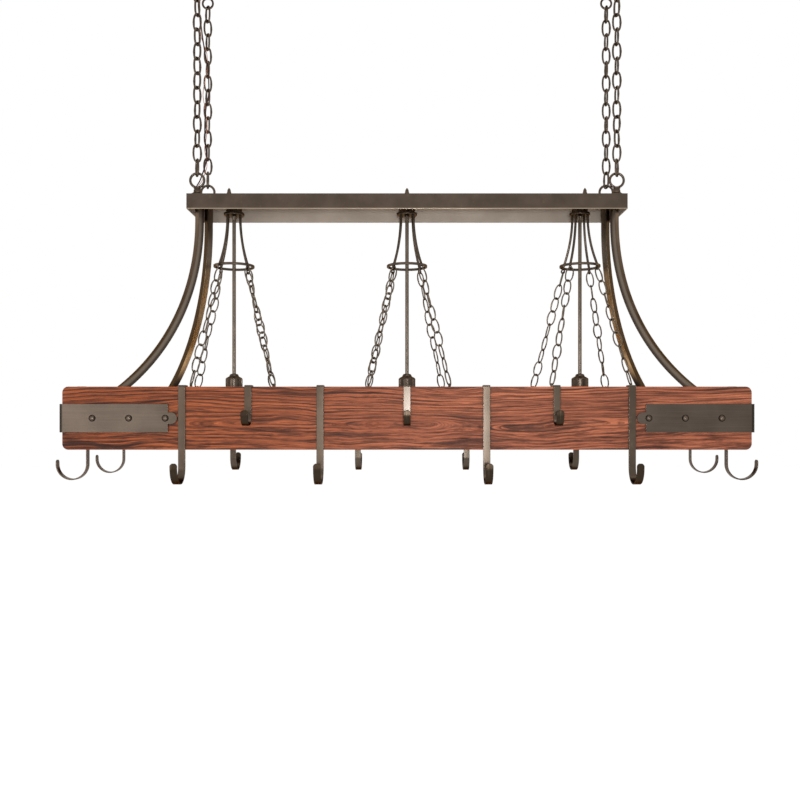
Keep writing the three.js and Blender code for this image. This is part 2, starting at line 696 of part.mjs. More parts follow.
// four hanger chains and the band round the bowl's rim, which carries their lower eyes
function hangers() {
  const run = HANGER_FOOT.clone().sub(HANGER_TOP);
  const slope = Math.atan2(run.x, -run.y);
  const bearing = LAMP_WIRE / 2 + GAP;
  const pitch = (run.length() + bearing) / HANGER_LINKS;
  const rim = -BOWL_DROP;
  const seat = BOWL_RADIUS + GAP;
  let body = solid(turned([
    [seat, rim - BAND_HEIGHT],
    [BAND_RADIUS, rim - BAND_HEIGHT],
    [BAND_RADIUS, rim + BAND_LIP],
    [seat - BAND_LIP, rim + BAND_LIP],
    [seat, rim + GAP],
    [seat, rim - BAND_HEIGHT],
  ], BOWL_STEPS));
  for (let i = 0; i < 4; i += 1) {
    const turn = (i * Math.PI) / 2;
    const tab = box(
      HANGER_FOOT.x - BAND_TAB_WIDTH / 2, HANGER_FOOT.x + BAND_TAB_WIDTH / 2,
      -BAND_TAB_THICKNESS / 2, BAND_TAB_THICKNESS / 2,
      rim + BAND_TAB_FOOT, HANGER_FOOT.y + BAND_TAB_WIDTH / 2).rotateZ(turn);
    const drop = chain({
      count: HANGER_LINKS,
      pitch,
      wire: LAMP_WIRE,
      width: HANGER_LINK_WIDTH,
      steps: HANGER_STEPS,
    });
    const hung = drop
      .translate([0, 0, bearing])
      .rotate([0, THREE.MathUtils.radToDeg(-slope), 0])
      .translate([HANGER_TOP.x, 0, HANGER_TOP.y])
      .rotate([0, 0, THREE.MathUtils.radToDeg(turn)]);
    body = body.add(solid(tab)).add(hung);
  }
  return body;
}

function socket() {
  const radius = SOCKET_DIAMETER / 2;
  const profile = [[0, 0]];
  for (let degrees = 0; degrees <= 90; degrees += 30) {
    const angle = THREE.MathUtils.degToRad(degrees);
    const out = SOCKET_TOP_RADIUS + (radius - SOCKET_TOP_RADIUS) * Math.sin(angle);
    profile.push([out, -SOCKET_SHOULDER * (1 - Math.cos(angle))]);
  }
  profile.push(
    [radius, -SOCKET_HEIGHT],
    [radius - SOCKET_WALL, -SOCKET_HEIGHT],
    [radius - SOCKET_WALL, -SOCKET_HEIGHT + SOCKET_RECESS],
    [0, -SOCKET_HEIGHT + SOCKET_RECESS],
  );
  return turned(profile.reverse());
}

function bulb() {
  const globe = BULB_DIAMETER / 2;
  const neck = BULB_NECK / 2;
  const centre = -BULB_LENGTH + globe;
  const profile = [[0, 0], [neck, 0], [neck, centre + globe + BULB_FLARE]];
  for (let degrees = 50; degrees >= -90; degrees -= 28) {
    const angle = THREE.MathUtils.degToRad(degrees);
    profile.push([degrees === -90 ? 0 : globe * Math.cos(angle), centre + globe * Math.sin(angle)]);
  }
  return turned(profile.reverse());
}

function bowl() {
  const outer = [];
  const inner = [];
  for (let i = 0; i <= BOWL_RINGS; i += 1) {
    const angle = (i / BOWL_RINGS) * (Math.PI / 2);
    outer.push([BOWL_RADIUS * Math.sin(angle), -BOWL_DEPTH * Math.cos(angle)]);
    inner.push([
      (BOWL_RADIUS - BOWL_WALL) * Math.sin(angle),
      -(BOWL_DEPTH - BOWL_WALL) * Math.cos(angle),
    ]);
  }
  return turned([...outer, ...inner.reverse()], BOWL_STEPS);
}

const LAMPS = ['left', 'middle', 'right'];
LAMPS.forEach((name, i) => {
  const x = (i - 1) * LAMP_X;
  const turn = THREE.MathUtils.degToRad(LAMP_TURNS[i]);
  const at = (drop) => [x, 0, FLANGE_TOP - drop];
  add(`lamp_${name}_crown`, crown(), BRONZE, at(0), turn);
  add(`lamp_${name}_hangers`, hangers(), BRONZE, at(0), turn);
  const stem = cylinder(STEM_DIAMETER, -SOCKET_DROP + GAP, -FLANGE_HEIGHT - GAP, STEM_STEPS);
  add(`lamp_${name}_stem`, solid(stem), BRONZE, at(0));
  add(`lamp_${name}_socket`, solid(socket()), BRONZE, at(SOCKET_DROP));
  const bulbTop = SOCKET_DROP + SOCKET_HEIGHT - SOCKET_RECESS + GAP;
  add(`lamp_${name}_bulb`, solid(bulb()), BULB_GLASS, at(bulbTop));
  add(`lamp_${name}_bowl`, solid(bowl()), GLASS, at(BOWL_DROP), turn);
});

// ---------- lamp cord and earth wire ----------
// Both leave the front left loop's bore, climb behind that chain and end in the canopy's hole.
// The points are measured across from that chain's axis, and down from the ceiling.

const CORD_ROUTE = [
  [-1.8, 0, -546.6], [-1.8, 0, -527], [3.6, 9, -511], [9.1, 14, -492], [15.6, 14.5, -472],
  [20.1, 14.5, -452], [17.1, 14.5, -430], [15.1, 14.5, -400], [15.1, 14.5, -365],
  [18.1, 14.5, -330], [24.1, 14.5, -300], [24.1, 14.5, -262], [22.6, 14.5, -236],
  [15.6, 14.5, -200], [9.6, 14.5, -162], [4.6, 16, -125], [-2.4, 22, -85],
  [-2.9, 28, -48], [-1.8, 30, -20], [-1.8, 30, -1],
];
const EARTH_ROUTE = [
  [1.8, 0, -546.6], [1.8, 0, -527], [7.6, 12, -511], [13.6, 17.5, -492], [19.1, 18, -472],
  [17.1, 18, -452], [13.6, 18, -430], [18.1, 18, -400], [18.6, 18, -365], [14.6, 18, -330],
  [9.6, 18, -300], [14.6, 18, -262], [19.6, 18, -236], [19.1, 18, -200], [6.6, 18, -162],
  [1.6, 20, -125], [-0.4, 26, -85], [1.1, 31, -48], [2, 30, -20], [2, 30, -1],
];

function strand(route, diameter, steps) {
  const path = new THREE.CatmullRomCurve3(
    route.map(([x, y, z]) => new THREE.Vector3(x - CHAIN_X, y - CHAIN_Y, z)));
  return solid(alongPath(path, diameter, CORD_SIDES, steps));
}

add('lamp_cord', strand(CORD_ROUTE, CORD_DIAMETER, CORD_STEPS), CORD);
add('earth_wire', strand(EARTH_ROUTE, EARTH_DIAMETER, EARTH_STEPS), COPPER);

export default rack;
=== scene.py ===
# Hanging pot rack with three bowl lamps: the finish, fine shapes, cords and studio.
# Blender units are metres. +X runs along the rack, -Y is its front, and z = 0 is the ceiling.

import math

import bpy
from mathutils import Matrix, Vector

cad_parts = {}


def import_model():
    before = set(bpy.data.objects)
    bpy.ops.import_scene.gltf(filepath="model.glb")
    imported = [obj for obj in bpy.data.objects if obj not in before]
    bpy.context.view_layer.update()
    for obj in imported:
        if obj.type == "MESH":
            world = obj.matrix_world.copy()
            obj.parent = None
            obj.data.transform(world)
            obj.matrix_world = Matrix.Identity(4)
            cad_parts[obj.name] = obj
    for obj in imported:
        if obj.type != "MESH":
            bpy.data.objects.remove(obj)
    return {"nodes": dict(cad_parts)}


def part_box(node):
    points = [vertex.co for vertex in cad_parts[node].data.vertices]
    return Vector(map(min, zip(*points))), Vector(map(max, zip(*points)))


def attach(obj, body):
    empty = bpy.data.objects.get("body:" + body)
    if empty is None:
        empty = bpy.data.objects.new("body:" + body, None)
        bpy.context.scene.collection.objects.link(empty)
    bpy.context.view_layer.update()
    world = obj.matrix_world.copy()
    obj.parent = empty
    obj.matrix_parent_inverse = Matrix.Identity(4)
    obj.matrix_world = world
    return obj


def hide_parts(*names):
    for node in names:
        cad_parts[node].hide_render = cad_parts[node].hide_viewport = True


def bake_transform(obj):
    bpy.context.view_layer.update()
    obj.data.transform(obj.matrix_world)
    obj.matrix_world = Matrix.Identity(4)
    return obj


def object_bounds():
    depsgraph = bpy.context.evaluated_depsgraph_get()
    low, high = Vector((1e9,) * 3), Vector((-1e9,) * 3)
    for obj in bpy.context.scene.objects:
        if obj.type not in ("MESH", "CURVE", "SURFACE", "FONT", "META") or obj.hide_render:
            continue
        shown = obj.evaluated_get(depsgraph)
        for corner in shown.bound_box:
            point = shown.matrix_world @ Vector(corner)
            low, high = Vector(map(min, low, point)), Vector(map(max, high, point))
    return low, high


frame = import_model()
CAD_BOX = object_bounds()

MM = 0.001
GAP = 0.3 * MM
ENDS = (("left", -1), ("right", 1))
FACES = (("front", -1), ("back", 1))
CORNERS = [(end, side, face, front) for end, side in ENDS for face, front in FACES]

# ----- sizes read from the frame -----

BOARD_LOW, BOARD_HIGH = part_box("board_front")
TRAY_LOW, TRAY_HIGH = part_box("tray")
FRAME_HALF_LENGTH = BOARD_HIGH.x
FRAME_HALF_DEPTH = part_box("board_back")[1].y
BOARD_TOP = BOARD_HIGH.z
BOARD_MIDDLE = (BOARD_LOW.z + BOARD_HIGH.z) / 2
BOARD_HEIGHT = BOARD_HIGH.z - BOARD_LOW.z
BOARD_THICKNESS = BOARD_HIGH.y - BOARD_LOW.y
INNER_FACE = FRAME_HALF_DEPTH - BOARD_THICKNESS

# ----- sizes of the pieces -----

TRAY_SHEET = 2 * MM
TRAY_UNDER = TRAY_HIGH.z - TRAY_SHEET - GAP
TRAY_NUTS_Y = 61 * MM

CANOPY_THICKNESS = 6 * MM
CANOPY_EYES_Y = 56 * MM
CANOPY_SCREWS_Y = 78 * MM
CORD_HOLE_Y = -26 * MM
CORD_HOLE_RADIUS = 5 * MM
EYE_RADIUS = 13 * MM
EYE_WIRE = 5 * MM
EYE_CENTRE = -33 * MM

CHAIN_PITCH = 35 * MM
CHAIN_WIRE = 5 * MM
CHAIN_WIDTH = 23.7 * MM
WELD_SWELLING = 1.18
CHAIN_START = EYE_CENTRE - EYE_RADIUS + EYE_WIRE / 2 + GAP
# How far each link is turned round its chain, in degrees, from the top link down.
CHAIN_TURNS = {
    "front_left": (75, 72, 77, 64, 66, 54, 62, 49, 49, 41, 42, 30, 29),
    "back_left": (41, 37, 34, 45, 31, 37, 38, 37, 35, 45, 31, 20, 19),
    "front_right": (-55, -65, -85, -84, -90, -85, -88, -80, -78, -55, -45, -35, -30),
    "back_right": (4, -3, 8, 7, 2, 8, 5, 9, 3, 7, 6, 9, 21),
}

LOOP_RADIUS = 16.75 * MM
LOOP_WIRE = 6 * MM
LOOP_HEIGHT = 35.9 * MM
LOOP_BORE = 4.5 * MM

ARM_BAR = 16 * MM
ARM_TOP = Vector((500.7, 48.5, 0)) * MM
ARM_STRAIGHT = 22 * MM
ARM_LANDING = 52.8 * MM
ARM_FOOT_X = 653.75 * MM
ARM_HEADING = math.atan2(INNER_FACE - GAP - ARM_TOP.y, ARM_FOOT_X - ARM_TOP.x)
ARM_BEND_TOP = TRAY_LOW.z - ARM_STRAIGHT
ARM_REACH = math.hypot(ARM_FOOT_X - ARM_TOP.x, INNER_FACE - GAP - ARM_TOP.y)
ARM_DROP = ARM_BEND_TOP - (BOARD_MIDDLE + ARM_LANDING)
ARM_RADIUS = (ARM_REACH**2 + ARM_DROP**2) / (2 * ARM_REACH)
FOOT_THICKNESS = 5 * MM
FOOT_WIDTH = 126 * MM
FOOT_TOP_WIDTH = 62 * MM
FOOT_HEIGHT = 56 * MM
FOOT_SHOULDER = 32 * MM
FOOT_SCREWS = ((-48, -14), (48, -14), (-34, 14), (34, 14))  # mm from the foot's middle

BOARD_CORNER = 13 * MM

STRAP_THICKNESS = 4.5 * MM
STRAP_HEIGHT = 62.8 * MM
STRAP_END_CLEARANCE = 1.2 * MM
STRAP_REACH = 235 * MM
STRAP_BEND = 6 * MM
STRAP_BEND_FROM = FRAME_HALF_LENGTH - 3 * MM
STRAP_FACE = FRAME_HALF_DEPTH + GAP + STRAP_THICKNESS
TONGUE_LENGTH = 20 * MM
TONGUE_HEIGHT = 26 * MM
RIVET_RADIUS = 7.5 * MM
RIVET_HEIGHT = 5 * MM
RIVET_DOME = 8.6 * MM
RIVET_FROM_END = 68 * MM
RIVET_SPACING = 80.5 * MM

HOOK_WIDTH = 16 * MM
HOOK_THICKNESS = 3.2 * MM
HOOK_LIP = 25 * MM
HOOK_BEND = 1 * MM
LONG_HOOK = dict(radius=35.1 * MM, bottom=-BOARD_HEIGHT - 73.8 * MM, tip=8 * MM)
SHORT_HOOK = dict(radius=23.1 * MM, bottom=-BOARD_HEIGHT + 53.4 * MM, tip=6.4 * MM)

LAMP_TURNS = {"left": 54, "middle": 48, "right": 50}
COLLAR_HEIGHT = 26.9 * MM
FLANGE_RADIUS = 25 * MM
FLANGE_HEIGHT = 7 * MM
CROWN_ROD = 6 * MM
CROWN_TOP_RADIUS = 21 * MM
RING_RADIUS = 47.5 * MM
RING_DROP = 132.5 * MM
RING_HEIGHT = 6 * MM
RING_THICKNESS = 5 * MM
CROWN_EYE_RADIUS = 4.5 * MM
LAMP_WIRE = 3.5 * MM
SOCKET_DROP = 397.5 * MM
SOCKET_RADIUS = 20.75 * MM
SOCKET_HEIGHT = 56 * MM
SOCKET_RECESS = 24 * MM
FLUTES = 12
BULB_RADIUS = 28 * MM
BULB_NECK = 13.5 * MM
BULB_LENGTH = 78 * MM
BOWL_RADIUS = 137 * MM
BOWL_DEPTH = 112 * MM
BOWL_WALL = 4 * MM
BOWL_DROP = 440 * MM
BAND_THICKNESS = 2.5 * MM
BAND_HEIGHT = 12 * MM
BAND_LIP = 4 * MM
TAB_WIDTH = 7 * MM
TAB_RISE = 12 * MM
HANGER_LINKS = 9
HANGER_WIDTH = 22 * MM

CORD_DIAMETER = 3 * MM
EARTH_DIAMETER = 1.6 * MM
CORD_ROUNDNESS = 3

PITH_OFFSET = 0.012
RING_SPACING = 0.0078


# ----- shader recipes -----


class Socket:
    """One output of a shader node, for use in sums."""

    def __init__(self, recipe, link):
        self.recipe = recipe
        self.link = link

    def maths(self, operation, *values):
        return self.recipe.node("ShaderNodeMath", {"operation": operation}, dict(enumerate(values)))

    def __add__(self, other):
        return self.maths("ADD", self, other)

    def __sub__(self, other):
        return self.maths("SUBTRACT", self, other)

    def __rsub__(self, other):
        return self.maths("SUBTRACT", other, self)

    def __mul__(self, other):
        return self.maths("MULTIPLY", self, other)

    __radd__, __rmul__ = __add__, __mul__

    def __truediv__(self, other):
        return self.maths("DIVIDE", self, other)

    def __abs__(self):
        return self.maths("ABSOLUTE", self)

    def root(self):
        return self.maths("SQRT", self)

    def between(self, low, high):
        """0 below low, 1 above high, smooth in between."""
        settings = {"interpolation_type": "SMOOTHSTEP"}
        values = {"Value": self, "From Min": low, "From Max": high}
        return self.recipe.node("ShaderNodeMapRange", settings, values)


class Recipe:
    """The nodes of a material or of the world, written as sums."""

    def __init__(self, owner, shader="Principled BSDF"):
        owner.use_nodes = True
        self.owner = owner
        self.tree = owner.node_tree
        self.shader = self.tree.nodes[shader]

    def node(self, kind, settings, values, output=0):
        made = self.tree.nodes.new(kind)
        for key, value in settings.items():
            setattr(made, key, value)
        for key, value in values.items():
            self.feed(made.inputs[key], value)
        return Socket(self, made.outputs[output])

    def feed(self, socket, value):
        if isinstance(value, Socket):
            self.tree.links.new(value.link, socket)
        else:
            socket.default_value = value

    def place(self, centre=(0, 0, 0), turn=0.0):
        """Object coordinates, measured from a centre and turned about Z."""
        found = self.node("ShaderNodeTexCoord", {}, {}, "Object")
        moved = self.node("ShaderNodeVectorMath", {"operation": "SUBTRACT"}, {0: found, 1: centre})
        return self.node("ShaderNodeMapping", {}, {"Vector": moved, "Rotation": (0, 0, turn)})

    def axes(self, where):
        """The three coordinates of a place."""
        first = self.node("ShaderNodeSeparateXYZ", {}, {0: where})
        return [Socket(self, output) for output in first.link.node.outputs]

    def noise(self, where, scale, detail=3.0, roughness=0.5, distortion=0.0):
        """Noise at one scale, or at one for each axis."""
        if isinstance(scale, tuple):
            where, scale = self.node("ShaderNodeMapping", {}, {"Vector": where, "Scale": scale}), 1.0
        values = {"Vector": where, "Scale": scale, "Detail": detail, "Roughness": roughness,
                  "Distortion": distortion}
        return self.node("ShaderNodeTexNoise", {}, values, "Fac")

    def mix(self, factor, first, second, blend="MIX"):
        first, second = ((*colour, 1) if isinstance(colour, tuple) else colour for colour in (first, second))
        settings = {"data_type": "RGBA", "blend_type": blend}
        return self.node("ShaderNodeMix", settings, {0: factor, 6: first, 7: second}, 2)

    def bump(self, height, distance, strength, **under):
        values = {"Height": height, "Distance": distance, "Strength": strength, **under}
        return self.node("ShaderNodeBump", {}, values, "Normal")

    def seen(self, *rays):
        """1 for these kinds of ray, 0 for the others."""
        outputs = self.node("ShaderNodeLightPath", {}, {}).link.node.outputs
        total = 0.0
        for ray in rays:
            one = Socket(self, outputs[f"Is {ray} Ray"])
            total = one.maths("MAXIMUM", total, one)
        return total

    def surface(self, **values):
        """Feeds the shader's sockets by name, with _ for a space."""
        for key, value in values.items():
            self.feed(self.shader.inputs[key.replace("_", " ")], value)
        return self.owner


def material(name, *placing):
    """A new material's recipe, and the place that its textures are laid on."""
    recipe = Recipe(bpy.data.materials.new(name))
    return recipe, recipe.place(*placing)


def bronze(name="dark bronze", light=(0.098, 0.073, 0.055), dark=(0.076, 0.056, 0.042),
           shaded=None, lacquer=None):
    """Satin dark bronze on steel, faintly clouded, with traces of the brushing under it."""
    recipe, where = material(name)
    clouds = recipe.noise(where, 24)
    grit = recipe.noise(where, 700, detail=2)
    colour = recipe.mix(clouds.between(0.3, 0.7), dark, light)
    worn = recipe.noise(where, 75, detail=5, roughness=0.7).between(0.6, 0.74)
    colour = recipe.mix(worn * 0.22, colour, (0.2, 0.13, 0.075))
    if shaded:
        colour = shaded(recipe, where, colour)
    return recipe.surface(
        Base_Color=colour, Metallic=1.0, Roughness=0.28 + clouds * 0.04 + worn * 0.04,
        Specular_Tint=(0.45, 0.38, 0.32, 1), Normal=recipe.bump(grit, 0.0001, 0.06),
        Coat_Weight=lacquer(recipe, where) if lacquer else 0.0, Coat_Roughness=0.2)


def domed(recipe, where, colour):
    """The rivets: painted shade round the edge of each dome, and a painted highlight on its top."""
    rise = abs(recipe.axes(where)[1]) - STRAP_FACE
    # rim: painted shade round the dome's edge; top: painted highlight on the dome's top
    rim = rise.between(0.4 * RIVET_HEIGHT, 0.75 * RIVET_HEIGHT)
    top = rise.between(0.8 * RIVET_HEIGHT, 0.98 * RIVET_HEIGHT)
    return recipe.mix(top * 0.3, recipe.mix(rim, (0.022, 0.016, 0.012), colour), (0.2, 0.155, 0.12))


def off_the_board(recipe, where):
    return (abs(recipe.axes(where)[1]) - FRAME_HALF_DEPTH).between(6 * MM, 16 * MM)


def bowl_shade_and_streaks(recipe, where, colour):
    """The hooks' bowls, which stand off the long boards, carry painted shade that makes them nearly black,
    with paler streaks along them.
    """
    bowl = off_the_board(recipe, where)
    # paler streaks drawn over the bowls
    pale_streaks = recipe.noise(where, (500, 12, 12), detail=2).between(0.58, 0.72)
    # painted shade: the bowls go nearly black where they stand off the boards
    bowl_shade = recipe.mix(bowl * 0.72, colour, (0.022, 0.015, 0.01))
    return recipe.mix(bowl * pale_streaks * 0.45, bowl_shade, (0.16, 0.115, 0.075))


def lacquered_stems(recipe, where):
    return (1 - off_the_board(recipe, where)) * 0.4


def painted_hem_highlight(recipe, where, colour):
    """The tray: a painted highlight along the lower fold of its wall."""
    height = recipe.axes(where)[2] - TRAY_LOW.z
    # painted highlight within a few millimetres of the wall's lower edge
    return recipe.mix((1 - height.between(1.4 * MM, 3 * MM)) * 0.8, colour, (0.36, 0.28, 0.2))


def from_arm_top(recipe, where):
    """How far a place lies out and back from where its arm leaves the tray, and its height."""
    x, y, z = recipe.axes(where)
    return abs(x) - ARM_TOP.x, abs(y) - ARM_TOP.y, z


def painted_arm_light(recipe, where, colour):
    """The front arms: a painted highlight towards the outside of the bend, and painted shade inside it."""
    out, back, height = from_arm_top(recipe, where)
    drop = height - ARM_BEND_TOP
    below = drop.maths("MINIMUM", drop, 0.0)
    along = out * math.cos(ARM_HEADING) + back * math.sin(ARM_HEADING) - ARM_RADIUS
    outward = ARM_RADIUS - (along * along + below * below).root()
    # pale: painted highlight along the outer side of the bend
    pale = outward.between(-2.5 * MM, 2 * MM) * (1 - outward.between(5.5 * MM, 7.5 * MM))
    inside = 1 - outward.between(-4 * MM, -1 * MM)
    # painted shade on the inner side of the bend
    inner_shade = recipe.mix(inside * 0.4, colour, (0.03, 0.022, 0.017))
    return recipe.mix(pale * 0.7, inner_shade, (0.21, 0.168, 0.13))


def painted_back_arm_light(recipe, where, colour):
    """The back arms: painted light. The faces that the bend runs over are lighter and carry a painted warm
    copper reflection low down; their sides, and the lower part, get painted shade.
    """
    out, back, z = from_arm_top(recipe, where)
    height = z - BOARD_TOP
    aside = back * math.cos(ARM_HEADING) - out * math.sin(ARM_HEADING)
    flank = abs(aside).between(0.4 * ARM_BAR, 0.48 * ARM_BAR)
    low = 1 - height.between(0.24, 0.34)
    # lit faces: painted light on the faces that the bend runs over
    lit_faces = recipe.mix((1 - flank) * 0.8, colour, (0.17, 0.13, 0.095))
    # painted shade on the sides and on the lower part
    dark = recipe.mix((flank + low * (1 - flank)) * 0.75, lit_faces, (0.03, 0.021, 0.014))
    patches = recipe.noise(where, (30, 30, 9), detail=4, roughness=0.6).between(0.3, 0.62)
    # bare: painted warm copper reflection, in patches, on the lower faces
    bare = low * height.between(0.02, 0.08) * (1 - flank) * (0.55 + patches * 0.45)
    return recipe.mix(bare, dark, (0.5, 0.31, 0.15))


def brushed_bronze():
    """The end straps: brushed along their length, with painted shade where they bend."""
    recipe, where = material("brushed bronze")
    streaks = recipe.noise(where, (7, 7, 420), detail=5, roughness=0.7)
    clouds = recipe.noise(where, 14)
    bent = abs(recipe.axes(where)[0]).between(STRAP_BEND_FROM, STRAP_BEND_FROM + 2 * MM)
    colour = recipe.mix(clouds.between(0.3, 0.7), (0.072, 0.055, 0.043), (0.092, 0.07, 0.055))
    colour = recipe.mix(streaks.between(0.42, 0.7) * 0.3, colour, (0.13, 0.1, 0.075))
    # painted shade at the bends
    colour = recipe.mix(bent * 0.8, colour, (0.02, 0.015, 0.012))
    return recipe.surface(
        Base_Color=colour, Metallic=1.0, Roughness=0.28 + streaks * 0.07,
        Normal=recipe.bump(streaks, 0.0001, 0.12))


def bare_steel():
    """The tray's inside, which was left unpainted."""
    recipe, where = material("bare sheet steel")
    rolled = recipe.noise(where, (4, 300, 300))
    clouds = recipe.noise(where, 12, detail=4).between(0.3, 0.7)
    return recipe.surface(
        Base_Color=recipe.mix(clouds, (0.36, 0.295, 0.24), (0.44, 0.365, 0.3)),
        Metallic=0.6, Roughness=0.5 + rolled * 0.1, Normal=recipe.bump(rolled, 0.0001, 0.2))


def mottled(name, scale, detail, limits, dark, light, smooth, rougher, **constants):
    """A plain finish that wanders between two colours, and is rougher where it is lighter."""
    recipe, where = material(name)
    patches = recipe.noise(where, scale, detail)
    colour = recipe.mix(patches.between(*limits) if limits else patches, dark, light)
    return recipe.surface(Base_Color=colour, Roughness=smooth + patches * rougher, **constants)


def oak(name, centre, turn, seed):
    """Plain-sawn oak with a red-brown stain. The distance to the pith falls and rises along the board, so
    the rings close in long loops. Everything else is drawn out along the rings, apart from painted shade at
    the left end and a bluish painted sheen at the right."""
    recipe, where = material(name, centre, turn)
    seeded = recipe.node("ShaderNodeVectorMath", {"operation": "ADD"}, {0: where, 1: (seed, seed * 2, 0)})
    slow = recipe.noise(seeded, (1.7, 4, 4))
    sway = recipe.noise(seeded, (11, 60, 60))
    drift = recipe.noise(seeded, (1.5, 1, 1))
    x, y, z = recipe.axes(seeded)
    level = z + PITH_OFFSET + (slow - 0.5) * 0.09 + (sway - 0.5) * 0.006
    depth = PITH_OFFSET + (drift - 0.5) * 0.16
    pith = (level * level + depth * depth).root()
    ringed = recipe.node("ShaderNodeCombineXYZ", {}, {0: x, 1: y, 2: pith + level * 0.4})

    def grain(along, across, detail=3, roughness=0.5):
        return recipe.noise(ringed, (along, across, across), detail, roughness)

    phase = pith.maths("FRACT", pith / RING_SPACING)
    late = phase.between(0.4, 0.8) * (1 - phase.between(0.88, 1.0))
    broken = grain(5, 90, 4, 0.65).between(0.36, 0.56)
    lines = grain(4, 150, 5, 0.7).between(0.48, 0.6)
    dashes = grain(16, 360, 4, 0.7).between(0.5, 0.6)
    strokes = grain(3, 80, 4, 0.65).between(0.55, 0.62) * pith.between(0.006, 0.02)
    # 0 at the board's left end, 1 at its right: the run of the painted shade and sheen below
    towards_right_end = recipe.axes(where)[0].between(-0.8, 0.7)
    fibre = grain(16, 900, 5, 0.7)
    light = recipe.mix(fibre.between(0.3, 0.7), (0.35, 0.09, 0.032), (0.66, 0.19, 0.075))
    tone = recipe.mix(grain(2.4, 26).between(0.35, 0.65), (0.76, 0.72, 0.72), (1.04, 1.02, 1.0))
    # painted shade darkens the left end; a bluish painted sheen lightens the right
    shade_and_sheen = recipe.mix(towards_right_end, (0.8, 0.74, 0.64), (1.04, 1.2, 1.6))
    colour = recipe.mix(1.0, recipe.mix(1.0, light, tone, "MULTIPLY"), shade_and_sheen, "MULTIPLY")
    # the dark grain is weakened towards the right end, under the painted sheen
    for cover, stain in (
            (late * broken * (0.95 - towards_right_end * 0.25), (0.05, 0.02, 0.014)),
            (strokes * (0.95 - towards_right_end * 0.45), (0.035, 0.014, 0.01)),
            (lines * 0.75, (0.04, 0.015, 0.01)),
            (dashes * 0.5, (0.03, 0.012, 0.008))):
        colour = recipe.mix(cover, colour, stain)
    relief = recipe.bump(1 - lines * 0.6 - late * 0.4, 0.0003, 0.35)
    return recipe.surface(
        Base_Color=colour, Roughness=0.36 + fibre * 0.16 + dashes * 0.15, Specular_IOR_Level=0.12,
        Normal=recipe.bump(fibre, 0.0002, 0.25, Normal=relief))


def frosted_glass():
    """The bowls: amber art glass with soft milky swirls."""
    recipe, where = material("frosted amber glass")
    swirl = recipe.noise(where, 13, detail=5, roughness=0.6, distortion=1.6)
    return recipe.surface(
        Base_Color=recipe.mix(swirl.between(0.35, 0.68), (0.62, 0.42, 0.2), (0.9, 0.82, 0.66)),
        Roughness=0.34 + swirl * 0.12, Transmission_Weight=0.45, IOR=1.3,
        Normal=recipe.bump(recipe.noise(where, 420, detail=2), 0.0002, 0.3))


def cord_cover():
    """Clear brown flex: two twisted conductors show through the cover as slanting bands."""
    recipe, where = material("brown lamp cord")
    x, _, z = recipe.axes(where)
    twist = (z * 70 + x * 160) * 6.2832
    lay = twist.maths("SINE", twist).between(-0.5, 0.5)
    mist = recipe.noise(where, 300)
    colour = recipe.mix(lay, (0.012, 0.005, 0.004), (0.045, 0.012, 0.009))
    colour = recipe.mix(mist * 0.15, colour, (0.07, 0.025, 0.018))
    return recipe.surface(Base_Color=colour, Roughness=0.6 + mist * 0.15, Specular_IOR_Level=0.1)


BRONZE = bronze()
RIVET_BRONZE = bronze("rivet bronze", shaded=domed)
HOOK_BRONZE = bronze("hook bronze", (0.076, 0.051, 0.033), (0.058, 0.039, 0.025), bowl_shade_and_streaks, lacquered_stems)
TRAY_BRONZE = bronze("tray bronze", shaded=painted_hem_highlight)
ARM_BRONZE = bronze("arm bronze", shaded=painted_arm_light)
# A lighter copy of the bronze for the stems and hanger chains: on the thin hanger wires it is painted
# highlight.
PALE_BRONZE = bronze("pale bronze", (0.16, 0.127, 0.097), (0.115, 0.088, 0.066))
BACK_ARM_BRONZE = bronze("back arm bronze, painted light", shaded=painted_back_arm_light)
BRUSHED = brushed_bronze()
BARE_STEEL = bare_steel()
BRASS = mottled(
    "worn brass", 90, 4, (0.35, 0.65), (0.32, 0.2, 0.09), (0.52, 0.36, 0.17), 0.28, 0.2, Metallic=1.0)
OAK = {
    name: oak(f"oak {name} board", (x, y, BOARD_MIDDLE), math.radians(turn), seed)
    for name, x, y, turn, seed in (
        ("front", 0, -FRAME_HALF_DEPTH, 0, 3.1), ("back", 0, FRAME_HALF_DEPTH, 180, 7.7),
        ("left", -FRAME_HALF_LENGTH, 0, 90, 12.4), ("right", FRAME_HALF_LENGTH, 0, -90, 18.9))}
BOWL_GLASS = frosted_glass()
BULB_GLASS = mottled(
    "frosted bulb", 60, 3, None, (0.8, 0.78, 0.73), (0.9, 0.89, 0.86), 0.3, 0.1, Transmission_Weight=0.2)
CORD = cord_cover()
COPPER = mottled(
    "bare copper", 220, 4, (0.35, 0.7), (0.3, 0.12, 0.07), (0.62, 0.32, 0.21), 0.3, 0.2, Metallic=0.9)
RUBBER = mottled("black rubber", 150, 3, None, (0.012, 0.012, 0.012), (0.03, 0.029, 0.028), 0.6, 0.2)

# ----- working a piece -----


def begin():
    bpy.ops.object.select_all(action="DESELECT")


def only(piece):
    begin()
    piece.select_set(True)
    bpy.context.view_layer.objects.active = piece


def fix_size():
    """A new primitive's place, turn and size go into its mesh."""
    bpy.ops.object.transform_apply(location=True, rotation=True, scale=True)
    return bpy.context.object


def everything():
    bpy.ops.mesh.select_all(action="SELECT")


def open_mesh(kind="FACE"):
    bpy.ops.object.mode_set(mode="EDIT")
    bpy.ops.mesh.select_mode(type=kind)
    everything()


def leave():
    bpy.ops.object.mode_set(mode="OBJECT")
    return bpy.context.object


